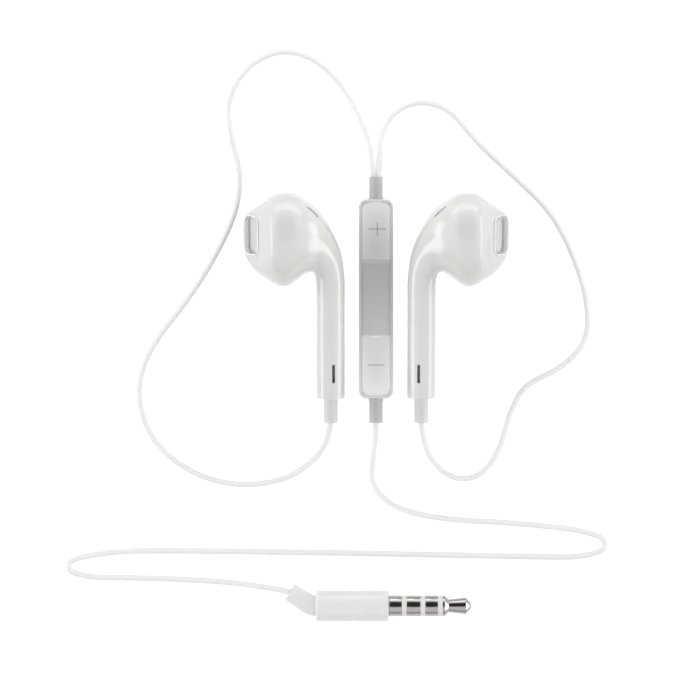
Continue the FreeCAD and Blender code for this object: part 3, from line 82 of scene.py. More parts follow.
class EarphonesSizes(PropertyGroup):
    cord_diameter: length("Cord diameter", "Thickness of each of the three cords", CORD_DIAMETER * MM)
    screen_pitch: length("Screen pitch", "Distance between the wires of the outlet's screen", 0.17 * MM)
    screen_wire: length("Screen wire", "Radius of the wires of the outlet's screen", 0.055 * MM)
    gauze_pitch: length("Gauze pitch", "Distance between the wires of the rear vent's gauze", 0.14 * MM)
    gauze_wire: length("Gauze wire", "Radius of the wires of the rear vent's gauze", 0.05 * MM)
    sign_height: length("Sign height", "How far the printed signs stand out of the keys", 0.012 * MM)
    seam_edge: length("Seam edge", "Radius of the soft edges where two mouldings meet", 0.025 * MM)
    round_steps: IntProperty(name="Round steps", description="Sides of a turned piece", default=96, min=24)


class EarphonesColours(PropertyGroup):
    housing: colour("Housing", "Gloss plastic of the buds", (0.70, 0.70, 0.68, 1))
    remote: colour("Remote", "Gloss plastic of the remote's shells", (0.68, 0.68, 0.665, 1))
    keys: colour("Keys", "Satin plastic of the two outer keys", (0.79, 0.79, 0.78, 1))
    # The middle key's colour is darker than the outer keys' as a painted shade in its hollow
    center_key: colour("Middle key", "Satin plastic of the middle key", (0.72, 0.72, 0.71, 1))
    sleeve: colour("Sleeve", "Soft plastic of the buds' sleeves", (0.68, 0.68, 0.68, 1))
    remote_sleeve: colour("Remote sleeve", "Soft plastic of the remote's sleeves", (0.50, 0.50, 0.50, 1))
    cord: colour("Cord", "Soft jacket of the cords", (0.87, 0.87, 0.865, 1))
    boot: colour("Boot", "Soft plastic of the plug's grip and boot", (0.80, 0.80, 0.79, 1))
    sign: colour("Sign", "Print of the signs on the keys", (0.18, 0.18, 0.175, 1))
    steel: colour("Steel", "Wires of the rear vents' gauze", (0.80, 0.80, 0.80, 1))
    screen: colour("Screen", "Wires of the outlets' screens", (0.97, 0.97, 0.96, 1))
    lining: colour("Lining", "Bright lining of the outlets", (0.86, 0.86, 0.86, 1))
    contact: colour("Contact", "Plating of the plug's contacts", (0.42, 0.41, 0.40, 1))
    insulator: colour("Insulator", "Rings between the contacts", (0.80, 0.80, 0.78, 1))
    floor: colour("Floor", "Surface that the earphones lie on", (0.35, 0.35, 0.35, 1))


class EarphonesStudio(PropertyGroup):
    lens: FloatProperty(name="Lens", description="Focal length in millimetres", default=180, min=50)
    frame_width: length("Frame width", "Width of the floor that the camera sees", 119 * MM)
    far_light: strength("Far light", "Power of the low softbox beyond the heads", 1.3, subtype="POWER")
    ambient: strength("Ambient", "Strength of the light from all round", 1.15)
    horizon: strength("Horizon", "Strength of the light from low down", 0.2)
    zenith: strength("Zenith", "Strength of the light from beside the camera", 0.05)
    sides: strength("Sides", "Strength of the low softboxes at the left and right", 2.8)
    floor_glow: strength("Floor glow", "How far the floor is lifted to white", 0.86)


def sizes():
    return bpy.context.scene.earphones_sizes


def colours():
    return bpy.context.scene.earphones_colours


def studio():
    return bpy.context.scene.earphones_studio


# Finishes, each a material of nodes on object coordinates

# How many spots of tone or grain a noise has to the metre
MOULDED_CLOUD, MOULDED_GRAIN = 160.0, 2600.0
SOFT_CLOUD, SOFT_GRAIN = 420.0, 5200.0
METAL_CLOUD, INK_GRAIN = 700.0, 6000.0
# Nearly all of a noise lies between these two values
NOISE_LOW, NOISE_HIGH = 0.3, 0.7
# The scale at which a wave turns by one radian in each metre
WAVE_UNIT = 0.05
# How far red, green and blue light goes inside white plastic, as shares of its subsurface scale
LIGHT_REACH = (1.0, 0.95, 0.9)


def set_inputs(tree, node, inputs):
    """Sets each input to its value, or links it where the value is another node's socket."""
    for key, value in inputs.items():
        if isinstance(value, bpy.types.NodeSocket):
            tree.links.new(value, node.inputs[key])
        else:
            node.inputs[key].default_value = value


def add_node(tree, kind, inputs=None, **settings):
    """A new node with its settings and inputs."""
    node = tree.nodes.new(kind)
    for name, value in settings.items():
        setattr(node, name, value)
    set_inputs(tree, node, inputs or {})
    return node


def maths(tree, operation, first, second=0.0):
    return add_node(tree, "ShaderNodeMath", {0: first, 1: second}, operation=operation).outputs[0]


def new_finish(name):
    """A new material: its tree and its shader."""
    material = bpy.data.materials.new(name)
    material.use_nodes = True
    tree = material.node_tree
    return tree, tree.nodes["Principled BSDF"]


def object_place(tree):
    return add_node(tree, "ShaderNodeTexCoord").outputs["Object"]


def noise(tree, place, scale, detail=2.0):
    return add_node(tree, "ShaderNodeTexNoise", {"Vector": place, "Scale": scale, "Detail": detail},
                    noise_dimensions="3D").outputs["Fac"]


def ranged(tree, value, start, end, low, high, **settings):
    """A number that goes from low to high as the value goes from start to end."""
    inputs = {"Value": value, "From Min": start, "From Max": end, "To Min": low, "To Max": high}
    return add_node(tree, "ShaderNodeMapRange", inputs, **settings).outputs["Result"]


def varied(tree, share, amount, less, more):
    """The amount times a number from less to more, as the share goes over a noise's usual range."""
    return ranged(tree, share, NOISE_LOW, NOISE_HIGH, amount * less, amount * more)


def tone(tree, share, tint, depth):
    """The tint, darkened by up to the depth where the share is low."""
    low = [channel * (1 - depth) for channel in tint[:3]] + [1]
    node = add_node(tree, "ShaderNodeMix", {"Factor": share, 6: low, 7: list(tint)}, data_type="RGBA")
    return node.outputs[2]


def bump(tree, height, distance):
    return add_node(tree, "ShaderNodeBump", {"Height": height, "Distance": distance * MM}).outputs["Normal"]


def wave(tree, place, radian, along, **inputs):
    """Bands across one axis, from a wave that turns by one radian in this many millimetres."""
    scale = WAVE_UNIT / (radian * MM)
    return add_node(tree, "ShaderNodeTexWave", {"Vector": place, "Scale": scale, **inputs},
                    bands_direction=along).outputs["Fac"]


def painted_shade_along(tree, place, painted_shade_stops):
    """A painted shade: a share of the colour that changes along Y, each stop giving a place in millimetres
    and the share there.
    """
    first, last = painted_shade_stops[0][0], painted_shade_stops[-1][0]
    along = add_node(tree, "ShaderNodeSeparateXYZ", {0: place}).outputs[1]
    ramp = add_node(tree, "ShaderNodeValToRGB", {0: ranged(tree, along, first * MM, last * MM, 0.0, 1.0)})
    ramp.color_ramp.interpolation = "EASE"
    while len(ramp.color_ramp.elements) < len(painted_shade_stops):
        ramp.color_ramp.elements.new(0.5)
    for number, (stop, share) in enumerate(painted_shade_stops):
        element = ramp.color_ramp.elements[number]
        element.position = (stop - first) / (last - first)
        element.color = (share, share, share, 1)
    return ramp.outputs["Color"]


def moulded_plastic(name, tint, roughness, coat=0.0, grain=0.004, depth=0.03, painted_shade_stops=None):
    """Moulded plastic: a slow change of tone, a fine grain and a clear gloss over it, with a painted shade
    along Y where stops are given.
    """
    tree, shader = new_finish(name)
    place = object_place(tree)
    cloud = noise(tree, place, MOULDED_CLOUD)
    shade = tone(tree, cloud, tint, depth)
    # Where stops are given, the colour is multiplied by a painted shade that changes along Y
    if painted_shade_stops:
        share = painted_shade_along(tree, place, painted_shade_stops)
        shade = add_node(tree, "ShaderNodeMix", {"Factor": 1.0, 6: shade, 7: share}, data_type="RGBA",
                         blend_type="MULTIPLY").outputs[2]
    set_inputs(tree, shader, {
        "Base Color": shade,
        "Roughness": varied(tree, cloud, roughness, 0.85, 1.2),
        "Normal": bump(tree, noise(tree, place, MOULDED_GRAIN, 3.0), grain),
        "Coat Weight": coat,
        "Coat Roughness": 0.04,
        "IOR": 1.5,
        "Subsurface Weight": 0.08,
        "Subsurface Radius": LIGHT_REACH,
        "Subsurface Scale": 0.4 * MM,
    })


def soft_plastic(name, tint, roughness, grain=0.012, coat=0.0):
    """Soft moulded plastic with a matt bloom and a fine grain."""
    tree, shader = new_finish(name)
    place = object_place(tree)
    fine = noise(tree, place, SOFT_GRAIN, 4.0)
    set_inputs(tree, shader, {
        "Base Color": tone(tree, noise(tree, place, SOFT_CLOUD), tint, 0.04),
        "Roughness": varied(tree, fine, roughness, 0.85, 1.15),
        "Normal": bump(tree, fine, grain),
        "Coat Weight": coat,
        "Coat Roughness": 0.15,
        "IOR": 1.48,
        "Sheen Weight": 0.1,
        "Subsurface Weight": 0.12,
        "Subsurface Radius": LIGHT_REACH,
        "Subsurface Scale": 0.3 * MM,
    })


def turned_metal(name, tint, roughness, radian, along, metal=1.0):
    """Bright metal with the fine rings that a lathe leaves across one axis, lacquered where metal
    is below 1."""
    tree, shader = new_finish(name)
    place = object_place(tree)
    rings = wave(tree, place, radian, along, Distortion=0.4, Detail=2.0)
    set_inputs(tree, shader, {
        "Base Color": tone(tree, noise(tree, place, METAL_CLOUD), tint, 0.12),
        "Roughness": varied(tree, rings, roughness, 0.8, 1.3),
        "Normal": bump(tree, rings, 0.003),
        "Metallic": metal,
    })


def fine_weave(name, tint, radian):
    """Cloth whose threads cross under and over."""
    tree, shader = new_finish(name)
    place = object_place(tree)
    threads = maths(tree, "MULTIPLY", wave(tree, place, radian, "X"), wave(tree, place, radian, "Y"))
    set_inputs(tree, shader, {
        "Base Color": tone(tree, threads, tint, 0.5),
        "Normal": bump(tree, threads, 0.03),
        "Roughness": 0.85,
        "Sheen Weight": 0.2,
    })


def printed_ink(name, tint):
    """A thin print with an uneven, slightly worn density."""
    tree, shader = new_finish(name)
    density = noise(tree, object_place(tree), INK_GRAIN, 3.0)
    set_inputs(tree, shader, {
        "Base Color": tone(tree, density, tint, 0.25),
        "Roughness": varied(tree, density, 1.0, 0.35, 0.5),
    })


# Painted shade along the remote, from its lower end to its upper: the share of each plastic's colour left
# at each place. The shells and outer keys are darker towards the middle, and most in the upper half. The
# middle key is darker through its hollow towards its upper end, and is left at full colour at its lower lip
# as a painted highlight.
REMOTE_PAINTED_SHADE = [(-16.9, 1.0), (-7.6, 0.98), (-5.6, 0.88), (5.6, 0.8), (8.4, 0.87), (16.9, 1.0)]
KEY_PAINTED_SHADE = [(-16.9, 1.0), (-6.6, 0.92), (6.6, 0.79), (16.9, 1.0)]
CENTER_KEY_PAINTED_SHADE_AND_HIGHLIGHT = [(-6.65, 1.0), (-6.35, 1.0), (-5.9, 0.84), (5.4, 0.71), (6.65, 0.70)]


class EARPHONES_OT_finishes(Operator):
    """Makes the plastics, metals, cloths and print that the pieces wear"""
    bl_idname = "earphones.finishes"
    bl_label = "Finishes"

    def execute(self, context):
        tints = colours()
        moulded_plastic("housing_gloss", tints.housing, 0.18, coat=0.7, depth=0.02)
        # The remote's shells and keys are darkened by the painted shade along the remote
        moulded_plastic("remote_gloss", tints.remote, 0.2, coat=0.6, depth=0.015, painted_shade_stops=REMOTE_PAINTED_SHADE)
        moulded_plastic("key_satin", tints.keys, 0.2, coat=0.8, depth=0.01, painted_shade_stops=KEY_PAINTED_SHADE)
        # The middle key's finish carries a painted shade in its hollow and a painted highlight at its lower
        # lip
        moulded_plastic("center_key_satin", tints.center_key, 0.2, coat=0.8, depth=0.01, painted_shade_stops=CENTER_KEY_PAINTED_SHADE_AND_HIGHLIGHT)
        soft_plastic("bud_sleeve_soft", tints.sleeve, 0.4, coat=0.4)
        soft_plastic("remote_sleeve_soft", tints.remote_sleeve, 0.4, coat=0.4)
        soft_plastic("cord_soft", tints.cord, 0.45, grain=0.003)
        soft_plastic("boot_soft", tints.boot, 0.45)
        moulded_plastic("grip_gloss", tints.boot, 0.28, coat=0.2, depth=0.012)
        printed_ink("sign_ink", tints.sign)
        turned_metal("gauze_steel", tints.steel, 0.4, 0.05, "X", 0.2)
        turned_metal("screen_steel", tints.screen, 0.4, 0.12, "X", 0.05)
        turned_metal("lining_bright", tints.lining, 0.3, 0.12, "X", 0.3)
        turned_metal("contact_plating", tints.contact, 0.12, 0.05, "X")
        moulded_plastic("insulator_plain", tints.insulator, 0.35)
        fine_weave("slot_weave", (0.42, 0.42, 0.425, 1), 0.06)
        moulded_plastic("driver_black", (0.03, 0.03, 0.03, 1), 0.5)
        moulded_plastic("film_amber", (0.30, 0.24, 0.15, 1), 0.3, grain=0.01)
        turned_metal("coil_copper", (0.75, 0.36, 0.17, 1), 0.3, 0.06, "X")
        turned_metal("plated_steel", (0.55, 0.55, 0.56, 1), 0.3, 0.08, "Y")
        moulded_plastic("board_green", (0.03, 0.16, 0.07, 1), 0.35, coat=0.3)
        moulded_plastic("chip_black", (0.02, 0.02, 0.02, 1), 0.55)
        moulded_plastic("gasket_soft", (0.05, 0.05, 0.05, 1), 0.7)
        return {"FINISHED"}


# The finish of each node that stays as the frame has it, by how the node's name begins
INNER_FINISHES = {
    "driver_frame": "driver_black", "voice_coil": "coil_copper", "pole_plate": "plated_steel",
    "magnet": "plated_steel", "slot_cloth": "slot_weave", "dome": "plated_steel",
    "circuit_board": "board_green", "control_chip": "chip_black", "microphone_gasket": "gasket_soft",
    "microphone": "plated_steel",
}


# Mesh helpers. Points are in millimetres until a piece is made of them.

SAME_POINT = 1e-7
SOFT_ANGLE, WIDE_SOFT_ANGLE = 38, 50


def facing_out(mesh, merge=False):
    """Turns every face of the mesh outward, with doubled points merged first if asked."""
    work = bmesh.new()
    work.from_mesh(mesh)
    if merge:
        bmesh.ops.remove_doubles(work, verts=work.verts, dist=SAME_POINT)
    bmesh.ops.recalc_face_normals(work, faces=work.faces)
    work.to_mesh(mesh)
    work.free()


def linked_object(name, data):
    thing = bpy.data.objects.new(name, data)
    bpy.context.scene.collection.objects.link(thing)
    return thing


def finished(name, mesh, finish, stands_for, soft_angle=SOFT_ANGLE, body=MAIN_BODY):
    """A piece from a mesh in metres, with its finish, the nodes it stands for and its body."""
    facing_out(mesh, merge=True)
    mesh.materials.clear()
    mesh.materials.append(bpy.data.materials[finish])
    mesh.shade_smooth()
    mesh.set_sharp_from_angle(angle=math.radians(soft_angle))
    piece = linked_object(name, mesh)
    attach(piece, body)
    if stands_for:
        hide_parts(*stands_for)
    return piece


def mesh_of(name, points, faces):
    mesh = bpy.data.meshes.new(name)
    mesh.from_pydata([tuple(value * MM for value in point) for point in points], [], faces)
    return mesh


def ring_faces(count, rings, closed):
    """Quads between rings of points, and from the last ring to the first where closed."""
    faces = []
    for row in range(rings if closed else rings - 1):
        here, there = row * count, (row + 1) % rings * count
        for step in range(count):
            following = (step + 1) % count
            faces.append((here + step, here + following, there + following, there + step))
    if not closed:
        faces.append(tuple(range(count)))
        faces.append(tuple((rings - 1) * count + step for step in range(count)))
    return faces


def swept(name, rings, closed):
    """A closed mesh through rings of points: a loop of rings, or a run of them with flat ends."""
    points = [tuple(point) for ring in rings for point in ring]
    return mesh_of(name, points, ring_faces(len(rings[0]), len(rings), closed))


def circle(centre, across, third, radius):
    """Points of a circle, spanned by two directions at right angles."""
    count = sizes().round_steps
    return [centre + (across * math.cos(turn) + third * math.sin(turn)) * radius
            for turn in (2 * math.pi * step / count for step in range(count))]


def turned(name, section, closed, origin, along, across):
    """A mesh turned about an axis through the origin. The section lists how far along and how far
    out each ring lies, in millimetres."""
    third = along.cross(across)
    rings = [circle(Vector(origin) + along * place, across, third, radius) for place, radius in section]
    return swept(name, rings, closed)


def corner(centre, radius, start, end, steps=5):
    """Points of an arc in a section, from one angle to another in degrees."""
    turns = [math.radians(start + (end - start) * step / steps) for step in range(steps + 1)]
    return [(centre[0] + radius * math.cos(turn), centre[1] + radius * math.sin(turn)) for turn in turns]


def round_over(radius, steps):
    """A rounded edge from the side to the face: how far below the face and how far in from the
    side each point lies."""
    turns = [math.radians(90 * step / steps) for step in range(steps + 1)]
    return [(radius * (1 - math.sin(turn)), radius * (1 - math.cos(turn))) for turn in turns]


SIDE_POINTS = 6
LEAST_RADIUS = 0.01


def rounded_ring(half_width, half_length, radius, height, steps):
    """Points of a rectangle with round corners, in the plane at a height."""
    radius = max(radius, LEAST_RADIUS)
    wide, long = half_width - radius, half_length - radius
    points = []
    for number, (middle, side_end) in enumerate((
            ((wide, -long), (half_width, long)), ((wide, long), (-wide, half_length)),
            ((-wide, long), (-half_width, -long)), ((-wide, -long), (wide, -half_length)))):
        points += [(x, y, height) for x, y in corner(middle, radius, -90 + 90 * number, 90 * number, steps)]
        start = points[-1]
        for step in range(1, SIDE_POINTS):
            part = step / SIDE_POINTS
            points.append((start[0] + (side_end[0] - start[0]) * part,
                           start[1] + (side_end[1] - start[1]) * part, height))
    return points


END_STEPS = 12


def stadium_prism(name, long, wide, low, high, matrix):
    """A slot-shaped cutter with round ends, from low to high along its own Z."""
    straight, radius = (long - wide) / 2, wide / 2
    outline = corner((straight, 0), radius, -90, 90, END_STEPS)
    outline += corner((-straight, 0), radius, 90, 270, END_STEPS)
    rings = [[matrix @ Vector((x, y, height)) for x, y in outline] for height in (low, high)]
    return swept(name, rings, False)


def cut(mesh, *cutters):
    """The mesh with the cutters' shapes taken out of it."""
    facing_out(mesh)
    piece = linked_object("cut_base", mesh)
    tools = []
    for cutter in cutters:
        facing_out(cutter)
        tools.append(linked_object("cut_tool", cutter))
        modifier = piece.modifiers.new("cut", "BOOLEAN")
        modifier.operation = "DIFFERENCE"
        modifier.solver = "EXACT"
        modifier.object = tools[-1]
    result = evaluated_mesh(piece)
    for thing in [piece] + tools:
        bpy.data.objects.remove(thing)
    return result


def evaluated_mesh(piece):
    """The mesh that the piece's modifiers make of it."""
    bpy.context.view_layer.update()
    evaluated = piece.evaluated_get(bpy.context.evaluated_depsgraph_get())
    return bpy.data.meshes.new_from_object(evaluated)


def both_buds(name, mesh, finish):
    """A left piece and its twin across the middle of the remote."""
    for side in SIDES:
        shape = mesh.copy()
        if side == "right":
            shape.transform(Matrix.Scale(-1, 4, X_AXIS))
            shape.flip_normals()
        node = "%s_%s" % (side, name)
        finished(node + "_shape", shape, finish, [node])


# Buds: the housing's smooth form, from the outlet through the head and the neck to the stem.
# Local axes: X away from the outlet, Y up the stem from its foot, Z out of the bud's side.

HEAD_REACH, HEAD_HEIGHT, HEAD_DEPTH, HEAD_AXIS = 14.85, 15.95, 14.1, 27.05
HEAD_FULLNESS, HEAD_WALL = 2.12, 0.95
STEM_RADIUS, STEM_LENGTH, STEM_WALL, STEM_FLOOR = 2.4, 13.0, 0.7, 0.8
STEM_SPACING, STEM_FOOT, BUD_TILT = 15.4, 16.65, 10.11
SEAM_REACH = 9.7
OUTLET_TURN, OUTLET_SIDE, OUTLET_RISE = 40.0, 1.5, 0.95
OUTLET_HEIGHT, OUTLET_WIDTH, OUTLET_LIP, OUTLET_WALL, OUTLET_FOOT = 6.8, 3.9, 0.15, 0.22, 0.1
OUTLET_SHOULDER_HEIGHT, OUTLET_SHOULDER_WIDTH, OUTLET_TAIL, OUTLET_LEDGE = 0.35, 0.3, 1.35, 0.3
OUTLET_EDGE, OUTLET_CORNER, OUTLET_FULLNESS, OUTLET_STEPS = 0.05, 1.35, 3.0, 14
GRILLE_RECESS, GRILLE_THICKNESS = 1.0, 0.22
CAP_EDGE = 0.12
FIT = 0.04
# Outer point, inner point, depth, shift and turn of each cross-section, in shares of the head.
HEAD_STATIONS = [
    ((-0.835, 0.680), (-0.835, -0.687), 0.667, 0.50, 0.50),
    ((-0.734, 0.830), (-0.727, -0.844), 0.865, 0.20, 0.20),
    ((-0.640, 0.955), (-0.623, -0.957), 0.957, 0.07, 0.05),
    ((-0.519, 1.000), (-0.532, -1.000), 1.000, 0.00, 0.00),
    ((-0.387, 0.962), (-0.441, -0.944), 0.979, 0.00, 0.00),
    ((-0.261, 0.818), (-0.343, -0.806), 0.894, 0.00, 0.00),
    ((-0.133, 0.617), (-0.266, -0.712), 0.759, 0.00, 0.00),
]
# The same in shares of the stem's radius.
NECK_STATIONS = [
    ((-0.167, 0.335), (-1.375, -0.687), 1.790, 0.0, 0.0),
    ((0.367, 0.021), (-1.190, -0.718), 1.440, 0.0, 0.0),
    ((0.750, -0.311), (-1.075, -0.794), 1.167, 0.0, 0.0),
    ((0.917, -0.631), (-1.020, -0.894), 1.033, 0.0, 0.0),
    ((1.000, -0.944), (-1.000, -1.057), 1.000, 0.0, 0.0),
]
OVAL_POINTS = 16
# Counted from the stem: the sections with the stem's wall, the round ones, and the steps over
# which the head's fuller outline turns into an ellipse, whose fullness is 2
THIN_WALLED, ROUND_OVALS, FULLNESS_FADE = 5, 4, 4
STRAIGHT_SHARES = (0.3, 0.62, 1.0)
# How finely the skin, the mouldings cut from it and their soft edges are meshed
SKIN_ROWS, SEAM_STEPS = 420, 4
SHELL_RINGS, SHELL_INNER_RINGS, CAP_RINGS, CAP_INNER_RINGS = 150, 60, 44, 20
HALVINGS = 30
LAST_ROW_GAP = 1e-6


def outlet_direction():
    turn = math.radians(OUTLET_TURN)
    return Vector((-math.cos(turn), 0, math.sin(turn)))


def outlet_across():
    turn = math.radians(OUTLET_TURN)
    return Vector((math.sin(turn), 0, math.cos(turn)))


def outlet_centre():
    """The middle of the outlet, beside which the cap's far side is the head's furthest reach."""
    turn = math.radians(OUTLET_TURN)
    back = HEAD_REACH - (OUTLET_WIDTH / 2 + OUTLET_SHOULDER_WIDTH) * math.sin(turn)
    return Vector((-back, HEAD_AXIS + OUTLET_RISE, OUTLET_SIDE + OUTLET_LIP * math.sin(turn)))


def superellipse(centre, up, across, half_height, half_depth, fullness):
    points = []
    for step in range(OVAL_POINTS):
        angle = 2 * math.pi * step / OVAL_POINTS
        rise = math.copysign(abs(math.cos(angle)) ** (2 / fullness), math.cos(angle))
        side = math.copysign(abs(math.sin(angle)) ** (2 / fullness), math.sin(angle))
        points.append(centre + up * (rise * half_height) + across * (side * half_depth))
    return points


def stations():
    """Every cross-section of the housing: centre, up, across, half height and half depth."""
    half = HEAD_HEIGHT / 2
    foot = outlet_centre() - outlet_direction() * OUTLET_LIP
    rows = [(foot, Y_AXIS, outlet_across(), OUTLET_HEIGHT / 2 + OUTLET_SHOULDER_HEIGHT,
             OUTLET_WIDTH / 2 + OUTLET_SHOULDER_WIDTH)]
    scaled = [(row, HEAD_REACH, HEAD_DEPTH / 2) for row in HEAD_STATIONS]
    scaled += [(row, STEM_RADIUS, STEM_RADIUS) for row in NECK_STATIONS]
    for (outer, inner, depth, shift, share), reach, deep in scaled:
        top = Vector((outer[0] * reach, HEAD_AXIS + outer[1] * half, 0))
        low = Vector((inner[0] * reach, HEAD_AXIS + inner[1] * half, 0))
        angle = share * math.radians(OUTLET_TURN)
        rows.append(((top + low) / 2 + Z_AXIS * (shift * OUTLET_SIDE), (top - low).normalized(),
                     Vector((math.sin(angle), 0, math.cos(angle))), (top - low).length / 2, depth * deep))
    neck_end = HEAD_AXIS - half
    for share in STRAIGHT_SHARES:
        height = neck_end + (STEM_LENGTH - neck_end) * share
        rows.append((Y_AXIS * height, X_AXIS, Z_AXIS, STEM_RADIUS, STEM_RADIUS))
    return rows


def housing_ovals(inset):
    """The housing's ovals, made smaller by an inset."""
    rows = stations()
    ovals = []
    for number, (centre, up, across, half_height, half_depth) in enumerate(rows):
        wall = min(inset, STEM_WALL) if number >= len(rows) - THIN_WALLED else inset
        if number == 0:
            centre = centre - outlet_direction() * inset
        share = min(1, max(0, (len(rows) - ROUND_OVALS - number) / FULLNESS_FADE))
        fullness = 2 + (HEAD_FULLNESS - 2) * share if number else OUTLET_FULLNESS
        ovals.append(superellipse(centre, up, across, half_height - wall, half_depth - wall, fullness))
    return np.array([[tuple(point) for point in oval] for oval in ovals])


def curve_between(first, second, slope_first, slope_second, step, share):
    """The smooth curve between two rows of points with the slopes given at them."""
    square, cube = share ** 2, share ** 3
    return (first * (2 * cube - 3 * square + 1) + slope_first * (step * (cube - 2 * square + share))
            + second * (3 * square - 2 * cube) + slope_second * (step * (cube - square)))


def end_slope(places, rows):
    """The slope at the first of four rows, from the cubic through them."""
    slope = np.zeros_like(rows[0])
    for chosen in range(4):
        others = [number for number in range(4) if number != chosen]
        below = np.prod([places[chosen] - places[number] for number in others])
        above = sum(np.prod([places[0] - places[number] for number in others if number != left_out])
                    for left_out in others)
        slope = slope + rows[chosen] * (above / below)
    return slope


def lengthwise(ovals, samples):
    """Rows of points on a smooth surface through the ovals, evenly spread along it."""
    steps = np.linalg.norm(np.diff(ovals, axis=0), axis=2).mean(axis=1)
    places = np.concatenate([[0.0], np.cumsum(steps)])
    count = len(ovals)
    weights = np.zeros((count, count))
    wanted = np.zeros_like(ovals)
    weights[0, 0] = weights[-1, -1] = 1
    wanted[0] = end_slope(places[:4], ovals[:4])
    wanted[-1] = end_slope(places[::-1][:4], ovals[::-1][:4])
    chords = np.diff(ovals, axis=0) / steps[:, None, None]
    for row in range(1, count - 1):
        before, after = steps[row - 1], steps[row]
        weights[row, row - 1:row + 2] = (after, 2 * (before + after), before)
        wanted[row] = 3 * (after * chords[row - 1] + before * chords[row])
    slopes = np.linalg.solve(weights, wanted.reshape(count, -1)).reshape(ovals.shape)
    rows = []
    for place in np.linspace(0, places[-1], samples):
        row = min(count - 2, int(np.searchsorted(places, place, side="right")) - 1)
        share = (place - places[row]) / steps[row]
        rows.append(curve_between(ovals[row], ovals[row + 1], slopes[row], slopes[row + 1],
                                  steps[row], share))
    return np.array(rows)


def all_round(rows, around):
    """Each row of points made a smooth closed ring of more points."""
    count = rows.shape[1]
    whole = np.eye(count)
    weights = 4 * whole + np.roll(whole, 1, axis=1) + np.roll(whole, -1, axis=1)
    wanted = 3 * (np.roll(rows, -1, axis=1) - np.roll(rows, 1, axis=1))
    slopes = np.einsum("ij,rjk->rik", np.linalg.inv(weights), wanted)
    result = np.zeros((rows.shape[0], around, 3))
    for step in range(around):
        spot, share = divmod(step * count / around, 1)
        here, there = int(spot), (int(spot) + 1) % count
        result[:, step] = curve_between(rows[:, here], rows[:, there],
                                        slopes[:, here], slopes[:, there], 1.0, share)
    return result


def skin(inset):
    """The housing's form, made smaller by an inset, as a grid of points: along it and round it."""
    return all_round(lengthwise(housing_ovals(inset), SKIN_ROWS), sizes().round_steps)


def even_shares(count):
    return [step / count for step in range(count + 1)]


def crossing(grid, reach):
    """Where each line along the skin passes the plane at a reach, in rows from its start."""
    places = []
    for column in range(grid.shape[1]):
        line = grid[:, column, 0]
        row = int(np.argmax(line > reach))
        places.append(row - 1 + (reach - line[row - 1]) / (line[row] - line[row - 1]))
    return np.array(places)


def skin_rows(grid, start, end, shares):
    """Rings at shares of the way between two places on each line along the skin."""
    rings = []
    columns = np.arange(grid.shape[1])
    for share in shares:
        place = np.clip(start + (end - start) * share, 0, grid.shape[0] - 1 - LAST_ROW_GAP)
        row = place.astype(int)
        part = (place - row)[:, None]
        rings.append(grid[row, columns] * (1 - part) + grid[row + 1, columns] * part)
    return rings


def bud_matrix():
    """Lays the left bud down: its foot at its place, on its side, tilted until head and foot touch."""
    tilt = math.radians(BUD_TILT)
    base = Vector((-STEM_SPACING / 2, -STEM_FOOT, STEM_RADIUS * math.cos(tilt)))
    return Matrix.Translation(base) @ Matrix.Rotation(tilt, 4, "X")


def laid_down(mesh):
    """The mesh moved from the bud's own axes to the left bud's place."""
    place = bud_matrix()
    place.translation *= MM
    mesh.transform(place)
    return mesh


def seam_rim(outer, inner, reach, way, edge):
    """Rings of a soft edge from the outer skin to the flat rim at the seam. way is 1 where the
    shell lies beyond the seam and -1 where it lies before it."""
    rings = []
    for back, deep in round_over(edge, SEAM_STEPS):
        outside, inside = (skin_rows(grid, crossing(grid, reach + way * back), 0, [0])[0]
                           for grid in (outer, inner))
        share = deep / HEAD_WALL
        rings.append(outside * (1 - share) + inside * share)
    return rings


def front_cap_mesh(outer, inner):
    """The cap from the seam to the outlet's hole, with its inner wall."""
    edge = sizes().seam_edge / MM
    reach = -SEAM_REACH
    end = crossing(outer, reach - edge)
    rings = skin_rows(outer, 0 * end, end, [1 - share for share in even_shares(CAP_RINGS)])
    face = rings.pop()
    hole = hole_ring(face)
    toward = hole - face
    inward = toward / np.linalg.norm(toward, axis=1)[:, None]
    slope = rings[-1] - face
    slope /= np.linalg.norm(slope, axis=1)[:, None]
    for share in even_shares(SEAM_STEPS):
        rings.append(face + slope * (CAP_EDGE * (1 - share) ** 2) + inward * (CAP_EDGE * share ** 2))
    rings.append(hole)
    rings += skin_rows(inner, leaving_hole(inner), crossing(inner, reach), even_shares(CAP_INNER_RINGS))
    rings += seam_rim(outer, inner, reach, -1, edge)[::-1][:-1]
    return laid_down(swept("front_cap", rings, True))


def beside_hole(spots):
    """How far points lie outside the outlet's hole, a rectangle with round corners."""
    away = spots - np.array(outlet_centre())
    corner_radius = OUTLET_CORNER - OUTLET_FOOT + FIT
    past_height = np.abs(away[..., 1]) - (OUTLET_HEIGHT / 2 - OUTLET_CORNER)
    past_width = np.abs(away @ np.array(outlet_across())) - (OUTLET_WIDTH / 2 - OUTLET_CORNER)
    outside = np.hypot(np.maximum(past_height, 0), np.maximum(past_width, 0))
    return outside + np.minimum(np.maximum(past_height, past_width), 0) - corner_radius


def hole_ring(face):
    """The outlet's hole in the flat front of the cap, straight inward from the face's ring."""
    middle = np.array(outlet_centre() - outlet_direction() * OUTLET_LIP)
    near, far = np.zeros(len(face)), np.ones(len(face))
    for _ in range(HALVINGS):
        share = (near + far) / 2
        inside = beside_hole(middle + (face - middle) * share[:, None]) < 0
        near, far = np.where(inside, share, near), np.where(inside, far, share)
    return middle + (face - middle) * near[:, None]


def leaving_hole(inner):
    """Where each line along the inner skin comes out of the outlet's hole."""
    beside = beside_hole(inner)
    places = []
    for column in range(inner.shape[1]):
        line = beside[:, column]
        row = int(np.argmax(line > 0))
        places.append(row - 1 - line[row - 1] / (line[row] - line[row - 1]) if row else 0.0)
    return np.array(places)


